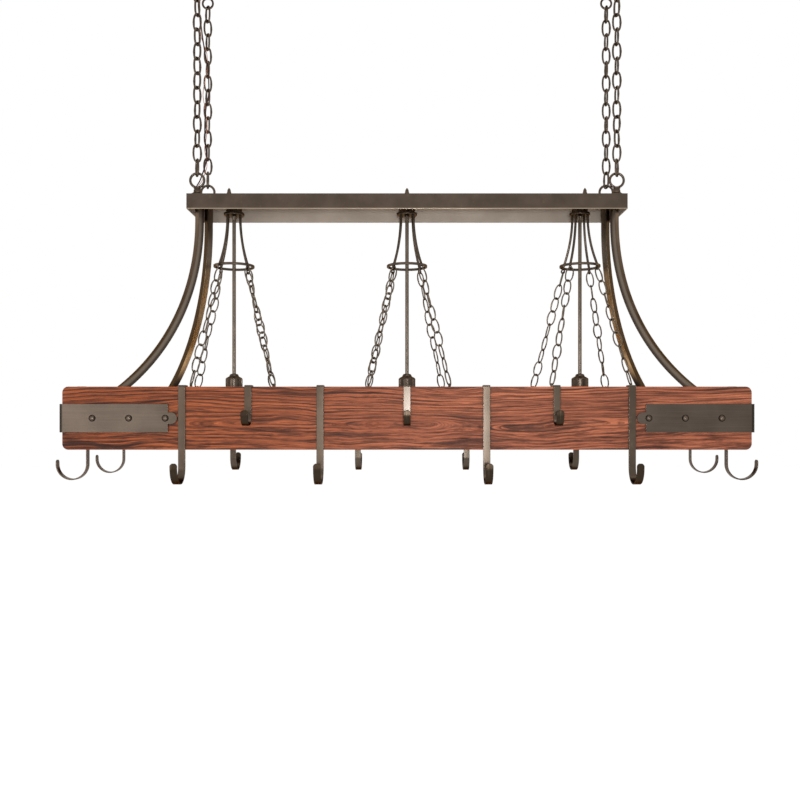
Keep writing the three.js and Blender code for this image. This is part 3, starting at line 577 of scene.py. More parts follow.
def close_mesh():
    """Merges what meets, turns the faces outward and goes back to the whole piece."""
    everything()
    bpy.ops.mesh.remove_doubles(threshold=1e-6)
    bpy.ops.mesh.normals_make_consistent(inside=False)
    return leave()


def pick(piece, test, kind="FACE"):
    """Selects what passes a test on its centre and direction, and nothing else."""
    only(piece)
    open_mesh(kind)
    bpy.ops.mesh.select_all(action="DESELECT")
    leave()
    mesh = piece.data
    if kind == "EDGE":
        for edge in mesh.edges:
            a, b = (mesh.vertices[i].co for i in edge.vertices)
            edge.select = test((a + b) / 2, (b - a).normalized())
    elif kind == "VERT":
        for vertex in mesh.vertices:
            vertex.select = test(vertex.co, vertex.normal)
    else:
        for face in mesh.polygons:
            face.select = test(face.center, face.normal)
    bpy.ops.object.mode_set(mode="EDIT")


def block(low, high):
    """A box between two corners."""
    begin()
    bpy.ops.mesh.primitive_cube_add(size=1, location=[(a + b) / 2 for a, b in zip(low, high)])
    bpy.context.object.scale = [b - a for a, b in zip(low, high)]
    return fix_size()


def round_picked(radius, segments):
    bpy.ops.mesh.bevel(offset=radius, segments=segments, affect="EDGES")
    leave()


def modified(piece, kind, **settings):
    """Adds a modifier and makes it part of the mesh."""
    only(piece)
    modifier = piece.modifiers.new("work", kind)
    for key, value in settings.items():
        setattr(modifier, key, value)
    bpy.ops.object.modifier_apply(modifier=modifier.name)


def soften(piece, width=0, segments=2, angle=40):
    """Rounds the hard edges, then smooths what lies flatter."""
    only(piece)
    if width:
        modified(piece, "BEVEL", width=width, segments=segments, limit_method="ANGLE",
                 angle_limit=math.radians(angle))
    bpy.ops.object.shade_smooth_by_angle(angle=math.radians(angle))
    return piece


def turned(profile, steps=40, unit=1):
    """A profile of (radius, height) points, extruded from one vertex and spun round the Z axis."""
    profile = [(radius * unit, height * unit) for radius, height in profile]
    begin()
    bpy.ops.mesh.primitive_plane_add(size=MM)
    open_mesh("VERT")
    bpy.ops.mesh.merge(type="CENTER")
    bpy.ops.transform.translate(value=(profile[0][0], 0, profile[0][1]))
    for (r0, z0), (r1, z1) in zip(profile, profile[1:]):
        run((r1 - r0, 0, z1 - z0))
    everything()
    bpy.ops.mesh.spin(steps=steps, angle=math.tau, center=(0, 0, 0), axis=(0, 0, 1))
    return close_mesh()


def arc_profile(centre, radius, start, end, steps):
    """Points of a round stretch of a profile, in degrees."""
    angles = [math.radians(start + (end - start) * i / steps) for i in range(steps + 1)]
    return [(centre[0] + radius * math.cos(a), centre[1] + radius * math.sin(a)) for a in angles]


def bar_end(place, size):
    """The end face of a bar, lying flat at a place, size[0] along X and size[1] along Y."""
    begin()
    bpy.ops.mesh.primitive_plane_add(size=1, location=place)
    bpy.context.object.scale = (*size, 1)
    piece = fix_size()
    open_mesh()
    return piece


def run(vector):
    """Draws the selected end out straight."""
    bpy.ops.mesh.extrude_region_move(TRANSFORM_OT_translate={"value": tuple(vector)})


def bend(centre, axis, degrees, steps):
    """Carries the selected end round an axis; the operator itself turns the other way."""
    bpy.ops.mesh.spin(steps=steps, angle=math.radians(-degrees), center=centre, axis=axis)


def narrow(x, y, z, centre):
    """Resizes the selected end about a centre."""
    bpy.ops.transform.resize(value=(x, y, z), center_override=centre)


def moved(piece, matrix):
    """Moves, turns or mirrors the mesh itself; a mirrored one has its faces turned out again."""
    piece.data.transform(matrix)
    piece.data.update()
    if matrix.determinant() < 0:
        only(piece)
        open_mesh()
        bpy.ops.mesh.flip_normals()
        leave()
    return piece


def copied(piece, matrix):
    twin = piece.copy()
    twin.data = piece.data.copy()
    bpy.context.scene.collection.objects.link(twin)
    return moved(twin, matrix)


def joined(pieces):
    begin()
    for piece in pieces:
        piece.select_set(True)
    bpy.context.view_layer.objects.active = pieces[0]
    bpy.ops.object.join()
    return bpy.context.object


def discard(*pieces):
    for piece in pieces:
        bpy.data.objects.remove(piece)


def at(x, y, z):
    return Matrix.Translation((x, y, z))


def spun(degrees, axis="Z"):
    return Matrix.Rotation(math.radians(degrees), 4, axis)


def bored(piece, radius, depth, place, sides):
    """Cuts an upright hole through a piece."""
    begin()
    bpy.ops.mesh.primitive_cylinder_add(vertices=sides, radius=radius, depth=depth)
    cutter = moved(fix_size(), at(*place))
    modified(piece, "BOOLEAN", object=cutter, solver="EXACT")
    discard(cutter)


def dress(piece, name, nodes=(), body="rack", material=BRONZE, slot="bronze"):
    """Names a finished piece, and says what it stands for, what it rides on and what it is made of."""
    piece.name = name
    piece.data.name = name
    piece.data.materials.clear()
    piece.data.materials.append(material)
    modified(piece, "WEIGHTED_NORMAL", mode="FACE_AREA_WITH_ANGLE", keep_sharp=True)
    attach(piece, body)
    if nodes:
        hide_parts(*nodes)
    return piece


# ----- camera, lights and floor -----

PHOTO_SIZE = 800  # pixels each way
FOCAL_PIXELS = 876
HORIZON_ROW = 417  # the camera looks level, so its own height lies on this row
RACK_COLUMN = 407  # where the middle of the rack lies
SENSOR = 36
CAMERA_TO_BOARD = 1935 * MM
CAMERA_HEIGHT = BOARD_MIDDLE + 2.6 * MM
FLOOR_SIZE = 40
FLOOR_DROP = 1.15
SKY_LIGHT = 0.7  # how brightly the sky lights what isn't metal
FLOOR_GLOW = 0.42  # with the sky's light on it, this keeps the floor as white as the sky
RACK_CENTRE = (0, 0, -1.05)


def camera():
    begin()
    place = (0, -FRAME_HALF_DEPTH - CAMERA_TO_BOARD, CAMERA_HEIGHT)
    bpy.ops.object.camera_add(location=place, rotation=(math.pi / 2, 0, 0))
    made = bpy.context.object
    made.data.sensor_width = SENSOR
    made.data.lens = FOCAL_PIXELS / PHOTO_SIZE * SENSOR
    made.data.shift_x = (PHOTO_SIZE / 2 - RACK_COLUMN) / PHOTO_SIZE
    made.data.shift_y = (HORIZON_ROW - PHOTO_SIZE / 2) / PHOTO_SIZE
    made.data.clip_end = 60
    bpy.context.scene.camera = made


def area_lamp(name, place, size, power, colour=(1, 1, 1), aim=RACK_CENTRE):
    begin()
    bpy.ops.object.light_add(type="AREA", location=place)
    lamp = bpy.context.object
    lamp.name = name
    lamp.data.shape = "RECTANGLE"
    lamp.data.size, lamp.data.size_y = size
    lamp.data.energy = power
    lamp.data.color = colour
    lamp.rotation_euler = (Vector(aim) - Vector(place)).to_track_quat("-Z", "Y").to_euler()


def world():
    """White behind the object and in its metals, and a softer sky that lights the rest."""
    recipe = Recipe(bpy.data.worlds.new("studio"), "Background")
    looked_at = recipe.seen("Camera", "Transmission", "Glossy")
    strength = {"Value": looked_at, "To Min": SKY_LIGHT, "To Max": 1.0}
    bpy.context.scene.world = recipe.surface(
        Color=(1, 1, 1, 1), Strength=recipe.node("ShaderNodeMapRange", {}, strength))


def floor():
    """Keeps the shadow, and glows just enough to have no horizon."""
    begin()
    bpy.ops.mesh.primitive_plane_add(size=FLOOR_SIZE, location=(0, 0, CAD_BOX[0].z - FLOOR_DROP))
    made = fix_size()
    made.name = "floor"
    recipe = Recipe(bpy.data.materials.new("pale floor"))
    made.data.materials.append(recipe.surface(
        Base_Color=(0.86, 0.86, 0.86, 1), Roughness=0.9, Specular_IOR_Level=0.0,
        Emission_Color=(1, 1, 1, 1), Emission_Strength=recipe.seen("Camera", "Glossy") * FLOOR_GLOW))


camera()
world()
floor()
area_lamp("front", (0.09, -2.75, -1.13), (0.24, 0.28), 21, (0.93, 1.0, 1.06))
area_lamp("left", (-1.75, -2.5, -1.0), (1.2, 1.0), 10)
area_lamp("side_left", (-2.5, 0.5, -0.6), (1.0, 1.2), 5)
area_lamp("side_right", (2.5, 0.5, -0.6), (1.0, 1.2), 5)
area_lamp("top", (0.3, -0.6, 2.4), (3.0, 2.4), 30, aim=(0, 0, -0.8))

# ----- cords -----
# Both leave the canopy's hole, fall behind the front left chain and end in that loop's bore.
# Millimetres: the points' heights, and how far across and back from that chain's axis each lies.

CORD_HEIGHTS = (
    -546.6, -527, -511, -492, -472, -452, -430, -400, -365, -330, -300, -262, -236, -200, -162, -125,
    -85, -48, -20, -1,
)
CORD_ROUTE = (
    (-1.8, 0), (-1.8, 0), (3.6, 9), (9.1, 14), (15.6, 14.5), (20.1, 14.5), (17.1, 14.5), (15.1, 14.5),
    (15.1, 14.5), (18.1, 14.5), (24.1, 14.5), (24.1, 14.5), (22.6, 14.5), (15.6, 14.5), (9.6, 14.5),
    (4.6, 16), (-2.4, 22), (-2.9, 28), (-1.8, 30), (-1.8, 30),
)
EARTH_ROUTE = (
    (1.8, 0), (1.8, 0), (7.6, 12), (13.6, 17.5), (19.1, 18), (17.1, 18), (13.6, 18), (18.1, 18),
    (18.6, 18), (14.6, 18), (9.6, 18), (14.6, 18), (19.6, 18), (19.1, 18), (6.6, 18), (1.6, 20),
    (-0.4, 26), (1.1, 31), (2, 30), (2, 30),
)


def centre_of(node):
    low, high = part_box(node)
    return (low + high) / 2


CORD_CHAIN = centre_of("loop_front_left")
CANOPY_BLEND = (-20 * MM, -110 * MM)  # the cord runs from the canopy's side to the chain's between these heights
LOOP_BLEND = (-478 * MM, -527 * MM)  # and from the chain's side to the rack's between these
TAIL_FROM = -472 * MM


def part_way(a, b, start, end, t):
    return a * ((end - t) / (end - start)) + b * ((t - start) / (end - start))


def smooth_route(route, per_step=6):
    """The centre line through the listed points: a Catmull-Rom curve, as the solid cord's is."""
    points = [Vector((x * MM + CORD_CHAIN.x, y * MM + CORD_CHAIN.y, z * MM))
              for (x, y), z in zip(route, CORD_HEIGHTS)]
    points = [points[0] * 2 - points[1], *points, points[-1] * 2 - points[-2]]
    line = []
    for a, b, c, d in zip(points, points[1:], points[2:], points[3:]):
        steps = [0.0]
        for p, q in ((a, b), (b, c), (c, d)):
            steps.append(steps[-1] + max((q - p).length, 1e-6) ** 0.5)
        t0, t1, t2, t3 = steps
        for i in range(per_step):
            t = t1 + (t2 - t1) * i / per_step
            ab, bc, cd = part_way(a, b, t0, t1, t), part_way(b, c, t1, t2, t), part_way(c, d, t2, t3, t)
            abc, bcd = part_way(ab, bc, t0, t2, t), part_way(bc, cd, t1, t3, t)
            line.append(part_way(abc, bcd, t1, t2, t))
    line.append(points[-2])
    return line


def tube(line, diameter):
    """A round cord along a line: a bevelled curve with closed ends, made into a mesh."""
    curve = bpy.data.curves.new("cord", "CURVE")
    curve.dimensions = "3D"
    curve.bevel_depth = diameter / 2
    curve.bevel_resolution = CORD_ROUNDNESS
    curve.use_fill_caps = True
    spline = curve.splines.new("POLY")
    spline.points.add(len(line) - 1)
    for point, place in zip(spline.points, line):
        point.co = (*place, 1)
    piece = bpy.data.objects.new("cord", curve)
    bpy.context.scene.collection.objects.link(piece)
    only(piece)
    bpy.ops.object.convert(target="MESH")
    return soften(bpy.context.object, angle=50)


def length_of(line):
    return sum((b - a).length for a, b in zip(line, line[1:]))


def hang_cord(name, node, route, diameter, material, slot):
    """The cord in two lengths: the top one from the canopy, the tail one down to the loop."""
    line = smooth_route(route)
    split = next(i for i, place in enumerate(line) if place.z > TAIL_FROM)
    for ending, path, above, below, blend in (
            ("", line[split:], "ceiling", "chain_front_left", CANOPY_BLEND),
            ("_tail", line[: split + 1], "chain_front_left", "rack", LOOP_BLEND)):
        path = path[::-1]
        piece = dress(tube(path, diameter), name + ending, [node], "chain_front_left", material, slot)
        piece.parent = None
        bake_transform(piece)
        length_of(path)


hang_cord("brown_flex", "lamp_cord", CORD_ROUTE, CORD_DIAMETER, CORD, "cord")
hang_cord("bare_wire", "earth_wire", EARTH_ROUTE, EARTH_DIAMETER, COPPER, "copper")

# ----- rings, links and chains -----


def ring(radius, wire, around=36, sides=12):
    """A round ring standing in the XZ plane."""
    begin()
    bpy.ops.mesh.primitive_torus_add(
        major_segments=around, minor_segments=sides, major_radius=radius, minor_radius=wire / 2,
        rotation=(math.pi / 2, 0, 0))
    return fix_size()


def link(wire, inner_length, width, around=20, sides=8):
    """A chain link standing in the XZ plane: a ring drawn out to an oval, the more the nearer its
    ends, with the weld's slight swelling on one side."""
    piece = ring((width - wire) / 2, wire, around, sides)
    stretch = inner_length / 2 - (width / 2 - wire)
    hair = wire / 50
    for sign in (1, -1):
        for slope, share in ((1.2, 0.2), (0.5, 0.3), (0, 0.5)):
            pick(piece, lambda co, _: co.z * sign > abs(co.x) * slope + hair, "VERT")
            bpy.ops.transform.translate(value=(0, 0, sign * stretch * share))
            leave()
    pick(piece, lambda co, _: abs(co.z) < hair and co.x > 0, "VERT")
    narrow(WELD_SWELLING, WELD_SWELLING, 1, (width / 2 - wire / 2, 0, 0))
    leave()
    only(piece)
    bpy.ops.object.shade_smooth()
    return piece


def chain(template, pitch, turns):
    """Links hanging down from their first bearing point at the origin, each about square to the last."""
    return joined([
        copied(template, at(0, 0, -pitch * (i + 0.5)) @ spun((0 if i % 2 else 90) + turn))
        for i, turn in enumerate(turns)])


main_link = link(CHAIN_WIRE, CHAIN_PITCH, CHAIN_WIDTH)
for end, _, face, _ in CORNERS:
    axis = centre_of(f"loop_{face}_{end}")
    hung = chain(main_link, CHAIN_PITCH, CHAIN_TURNS[f"{face}_{end}"])
    moved(hung, at(axis.x, axis.y, CHAIN_START))
    dress(hung, f"links_{face}_{end}", [f"chain_{face}_{end}"], f"chain_{face}_{end}")
discard(main_link)

# ----- canopies and loops -----


def screw_head(radius, height):
    """A domed screw head."""
    dome = radius * 1.6
    return soften(turned([(0, 0), (radius, 0), *arc_profile((0, height - dome), dome, 52, 90, 6)], 24))


def canopy(with_cord_hole):
    low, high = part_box("canopy_right")
    half = (high - low) / 2
    piece = block((-half.x, -half.y, -CANOPY_THICKNESS), (half.x, half.y, 0))
    pick(piece, lambda co, way: abs(way.z) > 0.9, "EDGE")
    round_picked(half.x - MM, 12)
    pick(piece, lambda co, way: way.z < -0.9)
    bpy.ops.mesh.inset(thickness=4 * MM, depth=0)
    bpy.ops.mesh.inset(thickness=1.2 * MM, depth=-0.8 * MM)
    leave()
    if with_cord_hole:
        bored(piece, CORD_HOLE_RADIUS, 40 * MM, (0, CORD_HOLE_Y, 0), 32)
    parts = [soften(piece, 0.8 * MM, 2, 50)]
    for _, front in FACES:
        y = front * CANOPY_EYES_Y
        tip = (EYE_CENTRE + EYE_RADIUS) / MM - 1
        post = turned([(0, -5), (8, -5), (8, -8), (6.4, -10), (5.2, -14), (5, tip), (0, tip - 0.5)], 28, MM)
        parts.append(soften(moved(post, at(0, y, 0))))
        parts.append(soften(moved(ring(EYE_RADIUS, EYE_WIRE), at(0, y, EYE_CENTRE)), angle=60))
    return joined(parts)


for end, _ in ENDS:
    middle = centre_of(f"canopy_{end}")
    plate = moved(canopy(end == "left"), at(middle.x, middle.y, 0))
    dress(plate, f"ceiling_canopy_{end}", [f"canopy_{end}"], "ceiling")
    for _, front in FACES:
        place = at(middle.x, front * CANOPY_SCREWS_Y, -CANOPY_THICKNESS)
        head = moved(screw_head(4.2 * MM, 2.6 * MM), place @ spun(180, "X"))
        dress(head, f"canopy_screw_{end}_{front + 2}", (), "ceiling", BRASS)

bush = turned([
    (3.6, -6.9), (6.2, -6.9), (6.6, -6.1), (4.9, -5.9), (4.9, -0.4), (3.6, -0.4), (3.6, -6.9)], 28, MM)
moved(bush, at(CORD_CHAIN.x, CORD_CHAIN.y + 30 * MM, 0))
dress(soften(bush), "cord_bush", (), "ceiling", RUBBER, "cord")


def loop():
    """A bored neck that screws to the tray, with the ring that the chain's last link holds."""
    bore, foot, top = LOOP_BORE / MM, GAP / MM, (LOOP_HEIGHT - LOOP_RADIUS) / MM + 1
    neck = turned([
        (bore, foot), (13.6, foot), (15, 1.2), (14.6, 3), (11.5, 4.6), (9.8, 6.2), (8.6, 8), (8.5, 12),
        (7.6, 13), (7.6, 15), (8.5, 16), (8.3, top - 3), (7, top), (bore, top), (bore, foot)], 32, MM)
    eye = ring(LOOP_RADIUS, LOOP_WIRE, 44)
    bored(eye, 4.4 * MM, 9 * MM, (0, 0, -LOOP_RADIUS), 24)
    soften(eye, angle=60)
    return joined([soften(neck, angle=38), moved(eye, at(0, 0, LOOP_HEIGHT))])


for end, _, face, _ in CORNERS:
    node = f"loop_{face}_{end}"
    foot = centre_of(node)
    dress(moved(loop(), at(foot.x, foot.y, TRAY_HIGH.z)), f"hang_{node}", [node])

# ----- tray -----


def tray():
    """Folded sheet: a box with no bottom, its wall turned inward, its folds rounded and its inside bare."""
    piece = block(TRAY_LOW, TRAY_HIGH)
    pick(piece, lambda co, way: way.z < -0.9)
    bpy.ops.mesh.delete(type="FACE")
    leave()
    modified(piece, "SOLIDIFY", thickness=TRAY_SHEET, offset=-1, use_even_offset=True)
    dress(soften(piece, 0.7 * MM), "steel_tray", ["tray"], material=TRAY_BRONZE)
    piece.data.materials.append(BARE_STEEL)
    inside = TRAY_HIGH - Vector((1, 1, 1)) * TRAY_SHEET / 2
    for face in piece.data.polygons:
        centre = face.center
        if abs(centre.x) < inside.x and abs(centre.y) < inside.y and centre.z < inside.z:
            face.material_index = 1


def acorn_nut():
    """A small domed nut on a washer, with six flats and a pointed cap."""
    nut = turned([(0, 0), (5.6, 0), (5.6, 5.5), (4.4, 6.2), (0, 6.2)], 6, MM)
    cap = turned([(0, 6), (4.2, 6), (4.4, 9), (3.6, 12), (2, 14.6), (1.2, 16), (0, 16.6)], 24, MM)
    washer = turned([(0, 0), (8, 0), (8, 1.2), (0, 1.2)], 28, MM)
    return joined([soften(nut, 0.4 * MM), soften(cap), soften(washer, 0.2 * MM)])


tray()
nut_template = acorn_nut()
LAMP_PLACES = {name: centre_of(f"lamp_{name}_stem") for name in LAMP_TURNS}
for name, middle in LAMP_PLACES.items():
    for face, front in FACES:
        nut = copied(nut_template, at(middle.x, front * TRAY_NUTS_Y, TRAY_HIGH.z))
        dress(nut, f"tray_nut_{name}_{face}")
discard(nut_template)

# ----- arms -----


def arm():
    """The right-hand front arm: a square bar bent in one round arc down to its foot plate."""
    wall = INNER_FACE - GAP
    past_wall = ARM_REACH + ARM_BAR * 2
    angle = math.degrees(math.acos(1 - past_wall / ARM_RADIUS))
    piece = bar_end((0, 0, TRAY_UNDER), (ARM_BAR, ARM_BAR))
    run((0, 0, ARM_BEND_TOP - TRAY_UNDER))
    bend((ARM_RADIUS, 0, ARM_BEND_TOP), (0, 1, 0), -angle, 40)
    close_mesh()
    soften(piece, 1.6 * MM, 3)
    moved(piece, at(ARM_TOP.x, -ARM_TOP.y, 0) @ Matrix.Rotation(-ARM_HEADING, 4, "Z"))
    only(piece)
    open_mesh()
    bpy.ops.mesh.bisect(plane_co=(0, -wall, 0), plane_no=(0, -1, 0), use_fill=True, clear_outer=True)
    leave()
    return joined([piece, arm_foot(wall)])


def arm_foot(wall):
    """A plate with sloping shoulders, flat on the board's inner face."""
    low = BOARD_MIDDLE - FOOT_HEIGHT / 2
    piece = block((ARM_FOOT_X - FOOT_WIDTH / 2, -wall, low),
                  (ARM_FOOT_X + FOOT_WIDTH / 2, -wall + FOOT_THICKNESS, low + FOOT_HEIGHT))
    pick(piece, lambda co, way: way.z > 0.9)
    run((0, 0, FOOT_SHOULDER))
    narrow(FOOT_TOP_WIDTH / FOOT_WIDTH, 1, 1, (ARM_FOOT_X, -wall, low))
    leave()
    return soften(piece, 0.8 * MM, 2, 25)


right_arm = arm()
for end, side, face, front in CORNERS:
    made = copied(right_arm, Matrix.Diagonal((side, -front, 1, 1)))
    finish = ARM_BRONZE if face == "front" else BACK_ARM_BRONZE
    dress(made, f"curved_arm_{face}_{end}", [f"arm_{face}_{end}"], material=finish)
discard(right_arm)

foot_screw = screw_head(5 * MM, 3 * MM)
for end, side, face, front in CORNERS:
    y = front * (INNER_FACE - GAP - FOOT_THICKNESS)
    for i, (dx, dz) in enumerate(FOOT_SCREWS):
        place = at(side * (ARM_FOOT_X + dx * MM), y, BOARD_MIDDLE + dz * MM)
        head = copied(foot_screw, place @ spun(front * 90, "X"))
        dress(head, f"foot_screw_{face}_{end}_{i + 1}", material=BRASS)
discard(foot_screw)

# ----- boards -----


for name, finish in OAK.items():
    board = block(*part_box(f"board_{name}"))
    if name in dict(FACES):
        pick(board, lambda co, way: abs(way.y) > 0.9, "EDGE")
        round_picked(BOARD_CORNER, 8)
    soften(board, 1.6 * MM if name in dict(FACES) else 1.4 * MM, 3)
    dress(board, f"oak_{name}", [f"board_{name}"], material=finish, slot="oak")

# ----- straps -----


def strap():
    """The right-hand strap: a flat band bent round the corners, with a rounded tongue at each end."""
    bend_x = FRAME_HALF_LENGTH + STRAP_END_CLEARANCE + STRAP_THICKNESS - STRAP_BEND
    bend_y = STRAP_FACE - STRAP_BEND
    plate_end = FRAME_HALF_LENGTH - STRAP_REACH
    mid = STRAP_FACE - STRAP_THICKNESS / 2
    begin()
    bpy.ops.mesh.primitive_plane_add(size=1, rotation=(0, math.pi / 2, 0))
    bpy.context.object.scale = (STRAP_HEIGHT, STRAP_THICKNESS, 1)
    piece = moved(fix_size(), at(plate_end, -mid, 0))
    only(piece)
    open_mesh()
    for z in (-TONGUE_HEIGHT / 2, TONGUE_HEIGHT / 2):
        everything()
        bpy.ops.mesh.bisect(plane_co=(0, 0, z), plane_no=(0, 0, 1))
    everything()
    run((bend_x - plate_end, 0, 0))
    bend((bend_x, -bend_y, 0), (0, 0, 1), 90, 8)
    run((0, 2 * bend_y, 0))
    bend((bend_x, bend_y, 0), (0, 0, 1), 90, 8)
    run((plate_end - bend_x, 0, 0))
    close_mesh()
    for _, front in FACES:
        pick(piece, lambda co, way: way.x < -0.9 and abs(co.z) < TONGUE_HEIGHT / 4
             and co.y * front > 0 and abs(co.x - plate_end) < MM)
        round_tongue(plate_end, front * mid)
    return soften(piece, 0.8 * MM)


def round_tongue(plate_end, y):
    """Draws the picked end out, and closes it in steps round a half circle."""
    radius = TONGUE_HEIGHT / 2
    run((radius - TONGUE_LENGTH, 0, 0))
    height, out = 1.0, 0.0
    for degrees in (15, 30, 45, 60, 75, 86):
        turn = math.radians(degrees)
        run((out - radius * math.sin(turn), 0, 0))
        narrow(1, 1, math.cos(turn) / height, (plate_end, y, 0))
        height, out = math.cos(turn), radius * math.sin(turn)
    leave()


def rivet():
    dome = arc_profile((0, RIVET_HEIGHT - RIVET_DOME), RIVET_DOME, 34, 90, 9)
    return soften(turned([(0, -MM), (RIVET_RADIUS, -MM), (RIVET_RADIUS, 0.6 * MM), *dome], 32), angle=50)


strap_piece = moved(strap(), at(0, 0, BOARD_MIDDLE))
rivet_piece = rivet()
for end, side in ENDS:
    turn = spun(0 if side > 0 else 180)
    node = f"strap_{end}"
    dress(copied(strap_piece, turn), f"iron_{node}", [node], material=BRUSHED, slot="brushed_steel")
    heads = []
    for _, front in FACES:
        for i in range(3):
            x = side * (FRAME_HALF_LENGTH - RIVET_FROM_END - i * RIVET_SPACING)
            place = at(x, front * STRAP_FACE, BOARD_MIDDLE)
            heads.append(copied(rivet_piece, place @ spun(-front * 90, "X")))
    dress(joined(heads), f"strap_rivets_{end}", [node], material=RIVET_BRONZE, slot="brushed_steel")
discard(strap_piece, rivet_piece)

# ----- pot hooks -----
# Drawn with +X away from the rack, X = 0 on the board's outer face and Z = 0 on its top edge.


def pot_hook(radius, bottom, tip, inside=False):
    """A flat bar hooked over the board. Its stem hangs down the outer face, or inside, with its bowl
    coming out under the board."""
    t, out = HOOK_THICKNESS, -1 if inside else 1
    lip_face, stem_face = (GAP, -BOARD_THICKNESS - GAP)[::-out]
    corner_z = GAP - HOOK_BEND
    centre_x = stem_face + out * t / 2 + radius
    centre_z = bottom + radius + t / 2
    bar_end((lip_face - out * t / 2, 0, -HOOK_LIP), (t, HOOK_WIDTH))
    run((0, 0, HOOK_LIP + corner_z))
    bend((lip_face + out * HOOK_BEND, 0, corner_z), (0, 1, 0), out * 90, 5)
    run((stem_face - lip_face - 2 * out * HOOK_BEND, 0, 0))
    bend((stem_face - out * HOOK_BEND, 0, corner_z), (0, 1, 0), out * 90, 5)
    run((0, 0, centre_z - corner_z))
    bend((centre_x, 0, centre_z), (0, 1, 0), -180, 24)
    run((0, 0, tip - 3 * MM))
    for rise, share in ((1.6, 0.93), (1.6, 0.84), (1.4, 0.7), (0.8, 0.72)):
        run((0, 0, rise * MM))
        narrow(1, share, 1, (centre_x + radius, 0, centre_z))
    return soften(close_mesh(), 1.1 * MM, 3)


hooks = {"long": pot_hook(**LONG_HOOK), "short": pot_hook(**SHORT_HOOK)}
end_hook = pot_hook(**LONG_HOOK, inside=True)
for node in [n for n in frame["nodes"] if n.startswith("hook_")]:
    middle = centre_of(node)
    board, kind = node.split("_")[1:3]
    if board in dict(FACES):
        front = dict(FACES)[board]
        place = at(middle.x, front * FRAME_HALF_DEPTH, BOARD_TOP) @ spun(front * 90)
    else:
        side = dict(ENDS)[board]
        place = at(side * FRAME_HALF_LENGTH, middle.y, BOARD_TOP) @ spun(0 if side > 0 else 180)
    dress(copied(hooks.get(kind, end_hook), place), f"pot_{node}", [node], node, HOOK_BRONZE)
discard(*hooks.values(), end_hook)

# ----- lamps -----
# Drawn about the lamp's own axis, with z = 0 on top of the flange.

CROWN_EYE_Z = -RING_DROP - RING_HEIGHT / 2 - CROWN_EYE_RADIUS
HANGER_TOP = Vector((RING_RADIUS, CROWN_EYE_Z - CROWN_EYE_RADIUS))
BAND_RADIUS = BOWL_RADIUS + GAP + BAND_THICKNESS
HANGER_FOOT = Vector((BAND_RADIUS - TAB_WIDTH / 2 - MM, -BOWL_DROP + TAB_RISE))


def crown():
    """Collar, flange, four flared rods and the ring that the hangers hook into."""
    low, edge, high = -FLANGE_HEIGHT / MM, FLANGE_RADIUS / MM, COLLAR_HEIGHT / MM
    collar = turned([
        (0, low), (24, low), (24.7, low + 0.4), (edge, low + 1.2), (edge, -1.6), (24, -0.4),
        (20.6, 0.4), (19.4, 1.6), (19.4, high), (0, high)], 48, MM)
    inner, outer = RING_RADIUS - RING_THICKNESS / 2, RING_RADIUS + RING_THICKNESS / 2
    under, over = -RING_DROP - RING_HEIGHT / 2, -RING_DROP + RING_HEIGHT / 2
    hoop = turned([(inner, under), (outer, under), (outer, over), (inner, over), (inner, under)], 56)
    parts = [soften(collar, angle=45), soften(hoop, 1.1 * MM, 3)]
    start = 2 * MM - FLANGE_HEIGHT
    flare, fall = RING_RADIUS - CROWN_TOP_RADIUS, RING_DROP - FLANGE_HEIGHT + 2 * MM
    bend_radius = (flare**2 + fall**2) / (2 * flare)
    sweep = math.degrees(math.asin(fall / bend_radius))
    begin()
    bpy.ops.mesh.primitive_circle_add(
        vertices=14, radius=CROWN_ROD / 2, fill_type="NGON", location=(CROWN_TOP_RADIUS, 0, start))
    rod = fix_size()
    open_mesh()
    bend((CROWN_TOP_RADIUS + bend_radius, 0, start), (0, 1, 0), -sweep, 18)
    close_mesh()
    soften(rod, angle=50)
    eye = soften(moved(ring(CROWN_EYE_RADIUS, LAMP_WIRE, 24, 10), at(RING_RADIUS, 0, CROWN_EYE_Z)), angle=60)
    for i in range(4):
        parts += [copied(rod, spun(90 * i)), copied(eye, spun(90 * i))]
    discard(rod, eye)
    return joined(parts)


def hangers():
    """Four hanger chains and the band round the bowl's rim, with a lug for each."""
    span = HANGER_FOOT - HANGER_TOP
    bearing = LAMP_WIRE / 2 + GAP
    pitch = (span.length + bearing) / HANGER_LINKS
    slope = math.degrees(math.atan2(span.x, -span.y))
    rim, seat = -BOWL_DROP, BOWL_RADIUS + GAP
    band = turned([
        (seat, rim - BAND_HEIGHT), (BAND_RADIUS, rim - BAND_HEIGHT), (BAND_RADIUS, rim + BAND_LIP),
        (seat - BAND_LIP, rim + BAND_LIP), (seat, rim + GAP), (seat, rim - BAND_HEIGHT)], 72)
    parts = [soften(band, 0.5 * MM)]
    template = link(LAMP_WIRE, pitch, HANGER_WIDTH, 16, 8)
    for i in range(4):
        lug = block(
            (HANGER_FOOT.x - TAB_WIDTH / 2, -MM, rim + 2 * MM),
            (HANGER_FOOT.x + TAB_WIDTH / 2, MM, HANGER_FOOT.y + TAB_WIDTH / 2))
        parts.append(moved(soften(lug, 0.5 * MM), spun(90 * i)))
        uneven = [28 * math.sin(1.9 * k + 1.3 * i) for k in range(HANGER_LINKS)]
        hung = chain(template, pitch, uneven)
        moved(hung, at(0, 0, bearing))
        parts.append(moved(hung, spun(90 * i) @ at(HANGER_TOP.x, 0, HANGER_TOP.y) @ spun(-slope, "Y")))
    discard(template)
    return joined(parts)


